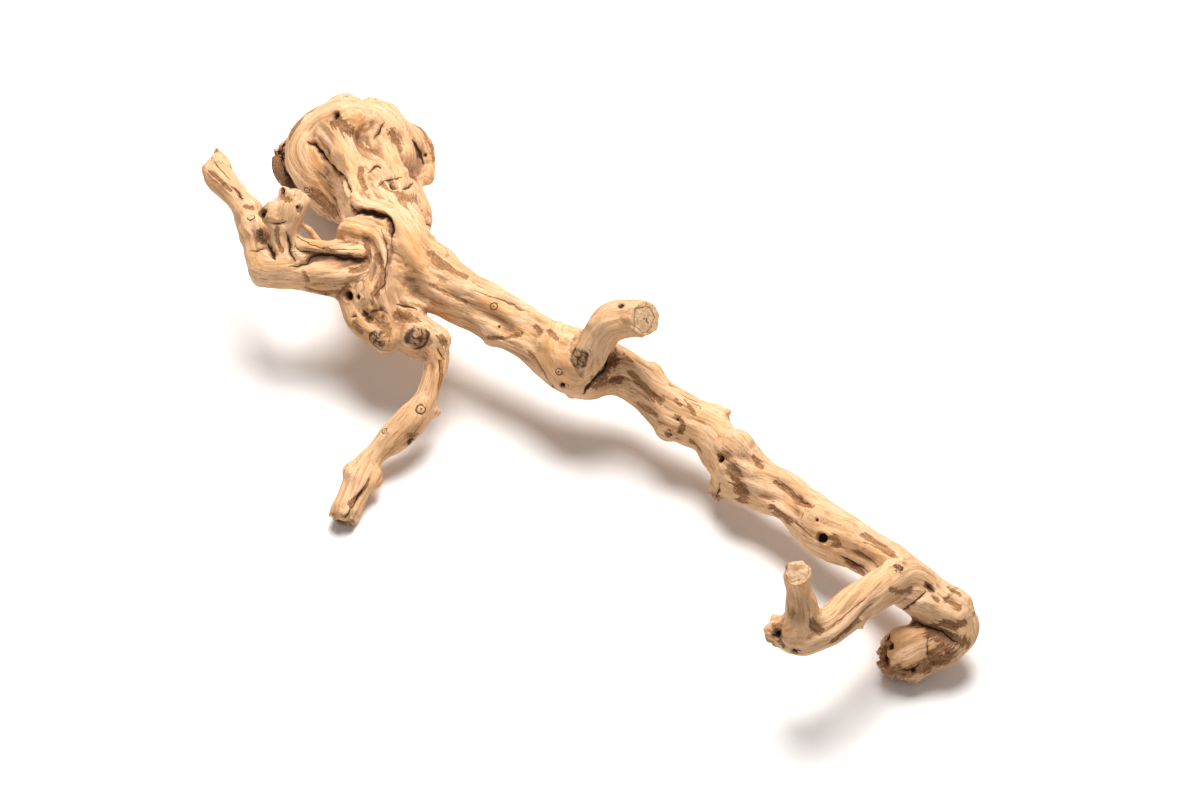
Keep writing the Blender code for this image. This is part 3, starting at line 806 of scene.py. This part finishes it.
def strokeOn(surface, tree, points, reach):
    # points of the surface near a line: how far sideways, how far along, how far from its
    # nearer end, and the length of the line
    path, run = smoothPath(points, carving["strokeStep"])
    found = [tree.find(Vector(place))[1] for place in path]
    path = surface.place[found].copy()
    facing = surface.normal[found].copy()
    for _ in range(3):
        path[1:-1] = (path[:-2] + path[1:-1] * 2.0 + path[2:]) / 4.0
        facing[1:-1] = (facing[:-2] + facing[1:-1] * 2.0 + facing[2:]) / 4.0
    facing /= np.linalg.norm(facing, axis=1)[:, None]
    low, high = path.min(axis=0) - reach, path.max(axis=0) + reach
    near = np.flatnonzero(np.all((surface.place > low) & (surface.place < high), axis=1))
    apart = surface.place[near][:, None, :] - path[None, :, :]
    distance = np.linalg.norm(apart, axis=2)
    closest = distance.argmin(axis=1)
    pick = np.arange(len(near))
    keep = (distance[pick, closest] < reach)
    keep &= np.einsum("ij,ij->i", surface.normal[near], facing[closest]) > 0.15
    near, closest, apart = near[keep], closest[keep], apart[keep, closest[keep]]
    along = np.gradient(path, axis=0)
    along /= np.linalg.norm(along, axis=1)[:, None] + 1e-9
    sideways = np.cross(facing, along)
    sideways /= np.linalg.norm(sideways, axis=1)[:, None] + 1e-9
    lateral = np.einsum("ij,ij->i", apart, sideways[closest])
    ahead = np.einsum("ij,ij->i", apart, along[closest])
    total = run[-1]
    position = run[closest] + ahead
    fromEnd = np.minimum(position, total - position)
    return near, lateral, position, fromEnd, total


def sliceEnds(surface):
    # presses everything beyond a saw cut flat onto the cut
    for place, facing, radius in saws.values():
        middle = np.array(place, float)
        facing = np.array(facing, float) / np.linalg.norm(facing)
        apart = surface.place - middle
        height = apart @ facing
        near = np.flatnonzero((height > 0.0) & (np.linalg.norm(apart, axis=1) < radius * 2.0))
        surface.place[near] -= facing * height[near][:, None]
    surface.readNormals()


def smoothStep(low, high, value):
    # 0 below low, 1 above high, and an even slope between
    share = np.clip((value - low) / (high - low), 0.0, 1.0)
    return share * share * (3.0 - 2.0 * share)


def foldSurface(surface, tree):
    # valleys and ridges along the limbs
    for depth, spread, points in folding.values():
        near, lateral, _, fromEnd, total = strokeOn(surface, tree, points, spread * 2.8)
        ease = smoothStep(-spread, min(total * 0.35, spread * 2.5), fromEnd)
        shape = np.exp(-0.5 * (lateral / spread) ** 2) * ease
        surface.place[near] -= surface.normal[near] * (shape * depth * carving["folding"])[:, None]
    surface.readNormals()


def raiseNubs(surface, tree):
    # small round bumps
    for height, spread, place in nubs.values():
        index = tree.find(Vector(place))[1]
        facing = surface.normal[index]
        distance = np.linalg.norm(surface.place - surface.place[index], axis=1)
        near = np.flatnonzero((distance < spread * 3.0) & (surface.normal @ facing > 0.1))
        shape = np.exp(-0.5 * (distance[near] / spread) ** 2)
        surface.place[near] += facing * (shape * height)[:, None]
    surface.readNormals()


def cutCracks(surface, tree):
    # grooves with a small lip; each point keeps its distance to the dark line of painted shade and the
    # line's width
    lines = np.zeros((len(surface.place), 3))
    lines[:, 0] = carving["outOfReach"]
    lines[:, 1] = -1.0
    for number, (width, depth, spread, points) in enumerate(cracks.values()):
        reach = max(spread * 3.0, 3.2)
        near, lateral, position, fromEnd, total = strokeOn(surface, tree, points, reach)
        wobble = np.array([noise.noise(Vector((place * 0.35, number * 7.3, 0.0))) for place in position])
        lateral = lateral + wobble * carving["crackWobble"]
        width, depth = width * carving["crackWidth"], depth * carving["crackDepth"]
        taper = smoothStep(-1.0, min(total * 0.4, 6.0), fromEnd)
        shape = np.exp(-0.5 * (lateral / spread) ** 2) * taper
        lip = np.exp(-0.5 * ((np.abs(lateral) - spread * 2.0) / spread) ** 2) * taper
        shift = lip * depth * carving["lipHeight"] - shape * depth
        surface.place[near] += surface.normal[near] * shift[:, None]
        thin = width * (0.35 + 0.65 * taper) - np.clip(-fromEnd, 0.0, None) * 2.0
        thin -= np.clip(np.abs(lateral) - 2.2, 0.0, None) * 1.5
        better = thin > lines[near, 1]
        lines[near[better], :2] = np.stack([lateral, thin], axis=1)[better]
    surface.marks["crackLine"] = lines
    surface.readNormals()


spotKinds = {"hole": 1.0, "ring": 2.0, "star": 3.0, "cut": 4.0}     # numbers that the material reads


def setSpots(surface, tree):
    # pits, ring marks, star knots and cut faces, each with its own flat coordinates
    count = len(surface.place)
    places = np.full((count, 3), carving["outOfReach"])
    kinds = np.zeros(count)
    for number, (kind, place, radius, depth) in enumerate(spots.values()):
        index = tree.find(Vector(place))[1]
        apart = surface.place - surface.place[index]
        distance = np.linalg.norm(apart, axis=1)
        facing = surface.normal[distance < radius + 1.0].mean(axis=0)
        facing /= np.linalg.norm(facing)
        across = np.cross(facing, (0.3, 0.2, 0.9))
        across /= np.linalg.norm(across)
        up = np.cross(facing, across)
        reach = max(radius * 1.7, radius + 1.8)
        near = np.flatnonzero((distance < reach) & (surface.normal @ facing > 0.0))
        flat = np.stack([apart[near] @ across, apart[near] @ up], axis=1) / radius
        out = np.hypot(flat[:, 0], flat[:, 1])
        places[near] = np.column_stack([flat, np.full(len(near), number * 3.7)])
        kinds[near] = spotKinds[kind]
        soft = max(0.35, 0.8 / radius)
        if kind == "hole":
            shift = -depth * (1.0 - smoothStep(1.0 - soft, 1.0 + soft * 0.6, out))
            shift += carving["lipHeight"] * depth * np.exp(-((out - 1.5) / 0.3) ** 2)
        elif kind == "ring":
            shift = depth * 0.6 * (1.0 - smoothStep(0.3, 1.0, out))
            shift -= depth * np.exp(-((out - 1.05) / 0.22) ** 2)
        elif kind == "star":
            shift = depth * 1.2 * (1.0 - smoothStep(0.9, 1.45, out))
            shift -= depth * 1.2 * np.exp(-((out - 1.0) / 0.18) ** 2)
            star = np.arctan2(flat[:, 1], flat[:, 0]) * 2.5 + number
            shift -= depth * 0.8 * np.exp(-((np.sin(star) / 0.45) ** 2)) * (out < 0.95)
        else:
            shift = np.zeros(len(near))
        surface.place[near] += facing * shift[:, None]
    surface.marks["spotPlace"] = places
    surface.marks["spotKind"] = kinds
    surface.readNormals()


def asLine(points):
    # a single place becomes a very short line
    return points if len(points) > 1 else points + [tuple(value + 1 for value in points[0])]


def layPatches(surface, tree):
    # sunk brown places and orange tints
    count = len(surface.place)
    level = np.full(count, -2.0)
    dark = np.zeros(count)
    tint = np.zeros(count)
    for width, darkness, points in patches.values():
        near, lateral, _, fromEnd, _ = strokeOn(surface, tree, points, width * 2.6 + 1.5)
        beyond = np.clip(-fromEnd, 0.0, None) + np.clip(width * 0.7 - fromEnd, 0.0, None) * 0.35
        value = 1.0 - np.hypot(lateral, beyond) / width
        better = value > level[near]
        level[near[better]] = value[better]
        strong = near[(value > -0.6) & better]
        dark[strong] = darkness
    for radius, points in stains.values():
        near, lateral, _, fromEnd, _ = strokeOn(surface, tree, asLine(points), radius * 2.5)
        beyond = np.clip(-fromEnd, 0.0, None)
        value = np.exp(-0.5 * (np.hypot(lateral, beyond) / radius) ** 2)
        tint[near] = np.maximum(tint[near], value)
    surface.marks["patchLevel"] = np.clip(level, -1.5, 1.0)
    surface.marks["patchDark"] = dark
    surface.marks["stain"] = tint
    recess = smoothStep(-0.1, 0.35, level)
    ragged = np.array([noise.noise(Vector(place) * 0.9) for place in surface.place.tolist()])
    surface.place -= surface.normal * (recess * carving["patchDepth"] * (1.0 + ragged))[:, None]
    surface.readNormals()


grainPaths = {                          # limbs whose length the fibres follow, in two sets
    "grainA": (
        "trunk", "leftLobe", "shoulder", "armStub", "hookStub", "leg", "endKnob", "backFold", "midStub",
    ),
    "grainB": (
        "centreRope", "arm", "hook", "twigTip", "baseFront", "rightFold", "sideFold", "collar",
        "shelfBand", "endFold", "hollowStub",
    ),
}


def grainOf(surface, names):
    # length along the nearest limb and the two offsets across it
    best = np.full(len(surface.place), 1e9)
    grain = np.zeros((len(surface.place), 3))
    for number, name in enumerate(names):
        points = {**limbs, **folds}[name]
        path, run = smoothPath(points, 4.0)
        along, sides, ups = pathFrames(path)
        tree = nearestAmong(path[:, :3])
        found = np.array([tree.find(place)[1] for place in surface.place.tolist()])
        apart = surface.place - path[found, :3]
        ahead = np.einsum("ij,ij->i", apart, along[found])
        side = np.einsum("ij,ij->i", apart, sides[found])
        up = np.einsum("ij,ij->i", apart, ups[found])
        distance = np.linalg.norm(apart, axis=1) - path[found, 3]
        length = run[found] + ahead
        turn = length * carving["grainTwist"]
        turned = np.stack([
            length,
            side * np.cos(turn) - up * np.sin(turn),
            side * np.sin(turn) + up * np.cos(turn),
        ], axis=1)
        turned += np.array((0.0, 17.0, 29.0)) * number
        better = distance < best
        best[better] = distance[better]
        grain[better] = turned[better]
    return best, grain


def followGrain(surface):
    # two sets of coordinates along the fibres, and how to mix them
    distanceA, surface.marks["grainA"] = grainOf(surface, grainPaths["grainA"])
    distanceB, surface.marks["grainB"] = grainOf(surface, grainPaths["grainB"])
    surface.marks["grainMix"] = smoothStep(-3.0, 3.0, distanceA - distanceB)


def grainNoise(surface, length, width, aside):
    # noise stretched along the fibres
    values = []
    for name in grainPaths:
        scaled = surface.marks[name] / (length, width, width) + aside
        values.append(np.array([noise.noise(place) for place in scaled.tolist()]))
    mix = surface.marks["grainMix"]
    return values[0] * (1.0 - mix) + values[1] * mix


def weatherSurface(surface):
    # ridges and creases along the fibres, uneven swelling and crumbled ends
    coarse = grainNoise(surface, *carving["coarseGrain"])
    fine = grainNoise(surface, *carving["fineGrain"])
    swell = noiseAt(surface.place, carving["lumpSize"])
    shift = coarse * carving["coarseRidge"] + fine * carving["fineRidge"] + swell * carving["lumpiness"]
    flow = grainNoise(surface, *carving["creaseGrain"])
    where = noiseAt(surface.place, 24.0, (9.0, 5.0, 2.0))
    broken = np.zeros(len(shift))
    shift -= np.exp(-((flow / 0.075) ** 2)) * smoothStep(-0.15, 0.25, where) * carving["crease"]
    for middle, radius, height in carving["rough"]:
        apart = np.linalg.norm(surface.place - np.array(middle), axis=1)
        near = np.flatnonzero(apart < radius)
        apart = apart[near]
        cells = np.array([noise.cell(Vector(place) / 3.1) + noise.noise(Vector(place) / 2.0) * 0.7
                          for place in surface.place[near].tolist()])
        shift[near] += (1.0 - smoothStep(radius * 0.65, radius, apart)) * height * (cells - 0.5)
        broken[near] = np.maximum(broken[near], 1.0 - smoothStep(radius * 0.6, radius, apart))
    surface.marks["broken"] = broken
    surface.place += surface.normal * shift[:, None]
    surface.readNormals()


def hollowness(surface):
    # how far each point lies below its surroundings, near and wide, which sets the painted shade in the
    # hollows
    total = np.zeros(len(surface.place))
    place = surface.place.copy()
    for passes, depth in carving["hollows"]:
        for _ in range(passes):
            place += (surface.average(place) - place) * 0.7
        total += np.einsum("ij,ij->i", place - surface.place, surface.normal) / depth
    surface.marks["hollow"] = np.clip(total * 0.45, -1.0, 2.0)


def restOnFloor(surface):
    # nothing reaches below the floor
    surface.place[:, 2] = np.maximum(surface.place[:, 2], 0.0)
    surface.readNormals()


def storeMarks(surface):
    # keeps the marks on the mesh, where the material reads them
    for name, values in surface.marks.items():
        kind = "FLOAT_VECTOR" if values.ndim == 2 else "FLOAT"
        layer = surface.mesh.attributes.new(name, kind, "POINT")
        layer.data.foreach_set("vector" if values.ndim == 2 else "value", values.astype(np.float32).ravel())


rootMesh = softRoot()
surface = Surface(rootMesh)
surface.smooth(1)
print("root grown,", len(surface.place), "points")
nearest = nearestAmong(surface.place)
sliceEnds(surface)
foldSurface(surface, nearest)
raiseNubs(surface, nearest)
print("limbs folded")
followGrain(surface)
weatherSurface(surface)
print("wood weathered")
layPatches(surface, nearest)
cutCracks(surface, nearest)
sliceEnds(surface)
setSpots(surface, nearest)
surface.smooth(1, 0.25)
restOnFloor(surface)
hollowness(surface)
print("surface carved")
storeMarks(surface)
surface.place *= mm
surface.readNormals()

# wood material

wood = {
    "pale": (0.76, 0.49, 0.295),
    "mid": (0.67, 0.39, 0.195),
    "tan": (0.455, 0.228, 0.09),
    "brown": (0.24, 0.108, 0.047),
    "darkBrown": (0.085, 0.038, 0.020),
    # painted shade inside cracks and holes
    "shadeBlack": (0.022, 0.012, 0.008),
    "orange": (0.60, 0.28, 0.085),
    "cutFace": (0.64, 0.46, 0.29),
    "roughness": 0.72,
    "barkRoughness": 0.92,
    "gloss": 0.32,
    "grainHeight": 0.0005,              # m
    "grainStrength": 0.9,
}
covers = {                              # how much of the wood below each mark hides
    "vein": 0.65,
    "fleck": 0.50,
    "crumbs": 0.75,
    "stain": 0.85,
    "bark": 0.92,
    "cutFace": 0.75,
    "holeRim": 0.6,
    "starDisc": 0.65,
    "ring": 0.9,
    # the crack edge and the crack line are painted shade
    "crackEdge": 0.55,
    "crack": 0.95,
}
fibres = {                              # length and width in mm, detail
    "broad": (55.0, 6.5, 3.0),
    "streak": (26.0, 1.7, 3.0),
    "hair": (9.0, 0.42, 2.0),
    "fibre": (12.0, 0.9, 2.0),
    "vein": (46.0, 0.95, 2.0),
    "fleck": (6.0, 0.75, 2.0),
}
specks = {                              # number per metre, detail, roughness
    "cloud": (38.0, 3.0, 0.5),
    "speck": (900.0, 2.0, 0.6),
    "fuzz": (420.0, 3.0, 0.6),
    "crumb": (260.0, 3.0, 0.6),
}


class Wiring:
    # short ways to add nodes to a material and join them

    def __init__(self, tree):
        self.tree = tree

    def node(self, kind, **settings):
        made = self.tree.nodes.new("ShaderNode" + kind)
        for name, value in settings.items():
            setattr(made, name, value)
        return made

    def link(self, socket, value):
        if isinstance(value, bpy.types.NodeSocket):
            self.tree.links.new(value, socket)
        elif isinstance(value, tuple) and len(value) == 3 and socket.type == "RGBA":
            socket.default_value = (*value, 1.0)
        else:
            socket.default_value = value

    def attribute(self, name, output="Fac"):
        return self.node("Attribute", attribute_name=name).outputs[output]

    def maths(self, operation, *values):
        made = self.node("Math", operation=operation)
        for socket, value in zip(made.inputs, values):
            self.link(socket, value)
        return made.outputs[0]

    def times(self, first, second):
        return self.maths("MULTIPLY", first, second)

    def plus(self, first, second):
        return self.maths("ADD", first, second)

    def minus(self, first, second):
        return self.maths("SUBTRACT", first, second)

    def most(self, first, second):
        return self.maths("MAXIMUM", first, second)

    def between(self, value, low, high, newLow=0.0, newHigh=1.0):
        made = self.node("MapRange", interpolation_type="SMOOTHSTEP")
        for name, item in (("Value", value), ("From Min", low), ("From Max", high),
                           ("To Min", newLow), ("To Max", newHigh)):
            self.link(made.inputs[name], item)
        return made.outputs["Result"]

    def mixColour(self, share, first, second):
        made = self.node("Mix", data_type="RGBA")
        for index, value in ((0, share), (6, first), (7, second)):
            self.link(made.inputs[index], value)
        return made.outputs[2]

    def mixValue(self, share, first, second):
        made = self.node("Mix")
        for index, value in ((0, share), (2, first), (3, second)):
            self.link(made.inputs[index], value)
        return made.outputs[0]

    def paint(self, colour, mask, name, over):
        return self.mixColour(self.times(mask, covers[name]), colour, over)

    def scaled(self, vector, scale):
        made = self.node("VectorMath", operation="MULTIPLY")
        self.link(made.inputs[0], vector)
        made.inputs[1].default_value = scale
        return made.outputs[0]

    def split(self, vector):
        made = self.node("SeparateXYZ")
        self.link(made.inputs[0], vector)
        return made.outputs[:]

    def noise(self, vector, scale, detail=2.0, roughness=0.5):
        made = self.node("TexNoise")
        self.link(made.inputs["Vector"], vector)
        made.inputs["Scale"].default_value = scale
        made.inputs["Detail"].default_value = detail
        made.inputs["Roughness"].default_value = roughness
        return made.outputs["Fac"]


def woodPatterns(wires):
    # every noise that the wood uses: stretched along the fibres, or even in all directions
    look = {}
    grainMix = wires.attribute("grainMix")
    for name, (length, width, detail) in fibres.items():
        stretch = (1 / length, 1 / width, 1 / width)
        pair = [wires.noise(wires.scaled(wires.attribute(path, "Vector"), stretch), 1.0, detail, 0.55)
                for path in grainPaths]
        look[name] = wires.mixValue(grainMix, *pair)
    place = wires.node("TexCoord").outputs["Object"]
    for name, (scale, detail, roughness) in specks.items():
        look[name] = wires.noise(place, scale, detail, roughness)
    return look


def bareWood(wires, look):
    # pale wood with darker fibres, veins, flecks, crumbled ends and orange stains
    colour = wires.mixColour(wires.between(look["broad"], 0.38, 0.66), wood["pale"], wood["mid"])
    colour = wires.mixColour(wires.between(look["streak"], 0.47, 0.70, 0.0, 0.72), colour, wood["tan"])
    colour = wires.mixColour(wires.between(look["hair"], 0.48, 0.68, 0.0, 0.62), colour, wood["tan"])
    vein = wires.times(wires.between(look["vein"], 0.61, 0.68), wires.between(look["cloud"], 0.40, 0.56))
    colour = wires.paint(colour, vein, "vein", wood["brown"])
    fleck = wires.times(wires.between(look["fleck"], 0.62, 0.70), wires.between(look["streak"], 0.44, 0.56))
    colour = wires.paint(colour, fleck, "fleck", wood["brown"])
    colour = wires.mixColour(wires.between(look["cloud"], 0.50, 0.70, 0.0, 0.42), colour, wood["tan"])
    crumbled = wires.times(wires.attribute("broken"), wires.between(look["crumb"], 0.40, 0.62))
    colour = wires.paint(colour, crumbled, "crumbs", wood["brown"])
    stained = wires.times(wires.attribute("stain"), wires.between(look["streak"], 0.36, 0.62))
    return wires.paint(colour, stained, "stain", wood["orange"])


def paintedHollowShade(wires, look, colour):
    # painted shade: brown in the hollows and darker in the deepest, where shade falls among the folds
    sunk = wires.plus(wires.attribute("hollow"), wires.times(wires.minus(look["hair"], 0.5), 0.7))
    colour = wires.mixColour(wires.between(sunk, 0.0, 0.70, 0.0, 0.70), colour, wood["brown"])
    return wires.mixColour(wires.between(sunk, 0.65, 1.5, 0.0, 0.88), colour, wood["darkBrown"])


def innerBark(wires, look, colour):
    # the brown under-layer, with edges torn along the fibres
    ragged = wires.plus(
        wires.times(wires.minus(look["streak"], 0.5), 2.2),
        wires.times(wires.minus(look["fibre"], 0.5), 2.4))
    bared = wires.between(wires.plus(wires.attribute("patchLevel"), ragged), 0.0, 0.30)
    wild = wires.times(wires.between(look["broad"], 0.60, 0.66), wires.between(look["streak"], 0.56, 0.62))
    bared = wires.most(bared, wires.times(wild, 0.6))
    grainy = wires.plus(wires.times(look["speck"], 0.6), wires.times(look["hair"], 0.4))
    grainy = wires.between(grainy, 0.36, 0.62)
    barkPale = wires.mixColour(grainy, wood["brown"], wood["tan"])
    barkDark = wires.mixColour(grainy, wood["darkBrown"], wood["brown"])
    bark = wires.mixColour(wires.attribute("patchDark"), barkPale, barkDark)
    return wires.paint(colour, bared, "bark", bark), bared


def spotMarks(wires, look, colour):
    # holes with painted shade inside, ring marks, star knots and cut faces; 1 is the edge of a spot
    spot = wires.attribute("spotPlace", "Vector")
    kind = wires.attribute("spotKind")
    across, up, number = wires.split(spot)
    length = wires.node("VectorMath", operation="LENGTH")
    wires.link(length.inputs[0], wires.scaled(spot, (1.0, 1.0, 0.0)))
    reach = length.outputs["Value"]
    out = wires.plus(reach, wires.times(wires.minus(wires.noise(spot, 1.2, 3.0), 0.5), 0.75))

    def only(name, mask):
        return wires.times(wires.maths("COMPARE", kind, spotKinds[name], 0.4), mask)

    def band(middle, width):
        apart = wires.maths("ABSOLUTE", wires.minus(out, middle))
        return wires.between(apart, width, width * 0.3)

    torn = wires.plus(wires.times(wires.minus(look["fuzz"], 0.5), 1.5), wires.minus(look["streak"], 0.5))
    torn = wires.plus(out, torn)
    # the inside of a hole is filled with painted shade
    hole = only("hole", wires.between(torn, 1.0, 0.7))
    holeRim = only("hole", wires.between(torn, 1.7, 0.95))
    ring = only("ring", wires.most(band(0.92, 0.22), band(0.0, 0.34)))
    turn = wires.plus(wires.times(wires.maths("ARCTAN2", up, across), 2.0), number)
    turn = wires.plus(turn, wires.times(wires.noise(spot, 1.5, 3.0), 7.0))
    ray = wires.times(wires.maths("ABSOLUTE", wires.maths("SINE", turn)), reach)
    split = wires.times(wires.between(ray, 0.26, 0.10), wires.between(out, 1.0, 0.85))
    rim = wires.times(band(0.92, 0.26), wires.between(wires.noise(spot, 0.9, 1.0), 0.40, 0.56, 0.25, 1.0))
    star = only("star", wires.most(split, rim))
    starDisc = only("star", wires.between(out, 1.0, 0.7))
    cutDisc = only("cut", wires.between(out, 1.05, 0.95))
    cutLine = wires.times(cutDisc, wires.most(band(0.0, 0.17), wires.times(band(0.95, 0.08), 0.5)))
    cutFace = wires.mixColour(wires.between(look["speck"], 0.4, 0.7), wood["cutFace"], wood["tan"])
    colour = wires.paint(colour, cutDisc, "cutFace", cutFace)
    colour = wires.paint(colour, holeRim, "holeRim", wood["brown"])
    colour = wires.paint(colour, starDisc, "starDisc", wood["brown"])
    lines = wires.most(wires.times(ring, covers["ring"]), wires.most(star, cutLine))
    colour = wires.mixColour(lines, colour, wood["darkBrown"])
    return wires.mixColour(hole, colour, wood["shadeBlack"]), lines


def crackShadeMarks(wires, look, colour):
    # painted shade: a very dark line down each crack, with a soft brown shade along its edges
    sideways, width, _ = wires.split(wires.attribute("crackLine", "Vector"))
    jitter = wires.times(wires.minus(look["fuzz"], 0.5), 0.9)
    inside = wires.minus(width, wires.maths("ABSOLUTE", wires.plus(sideways, jitter)))
    shade = wires.times(wires.between(inside, -0.9, 0.1), wires.between(width, -0.1, 0.4))
    colour = wires.paint(colour, shade, "crackEdge", wood["brown"])
    deep = wires.between(inside, -0.12, 0.22)
    return wires.paint(colour, deep, "crack", wood["shadeBlack"]), deep


def fineRelief(wires, look, sunkParts):
    # raised fibres, with the bark, the cracks and the lines of the spots sunk into them
    height = wires.plus(wires.times(look["hair"], 0.45), wires.times(look["streak"], 1.1))
    height = wires.plus(height, wires.times(wires.times(look["speck"], sunkParts[0][0]), 0.9))
    for mask, depth in sunkParts:
        height = wires.minus(height, wires.times(mask, depth))
    bump = wires.node("Bump")
    bump.inputs["Distance"].default_value = wood["grainHeight"]
    bump.inputs["Strength"].default_value = wood["grainStrength"]
    wires.link(bump.inputs["Height"], height)
    return bump.outputs["Normal"]


def woodMaterial():
    material = bpy.data.materials.new("driedWood")
    material.use_nodes = True
    wires = Wiring(material.node_tree)
    look = woodPatterns(wires)
    colour = paintedHollowShade(wires, look, bareWood(wires, look))
    colour, bared = innerBark(wires, look, colour)
    colour, lines = spotMarks(wires, look, colour)
    colour, deep = crackShadeMarks(wires, look, colour)
    shader = material.node_tree.nodes["Principled BSDF"]
    wires.link(shader.inputs["Base Color"], colour)
    wires.link(shader.inputs["Roughness"], wires.mixValue(bared, wood["roughness"], wood["barkRoughness"]))
    shader.inputs["Specular IOR Level"].default_value = wood["gloss"]
    wires.link(shader.inputs["Normal"], fineRelief(wires, look, ((bared, 0.8), (deep, 1.5), (lines, 1.0))))
    print("wood mixed")
    return material


# finished piece

triangles = sum(len(face.vertices) - 2 for face in rootMesh.polygons)
rootMesh.materials.append(woodMaterial())
if triangles > skin["mostTriangles"]:
    rootMesh = withModifiers(rootMesh, [("DECIMATE", {"ratio": skin["mostTriangles"] / triangles})])
rootMesh.shade_smooth()
dryRoot = bpy.data.objects.new("dryRootWood", rootMesh)
bpy.context.scene.collection.objects.link(dryRoot)
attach(dryRoot, "root")
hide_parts(nodeName)
print("dry root finished,", len(rootMesh.polygons), "faces")
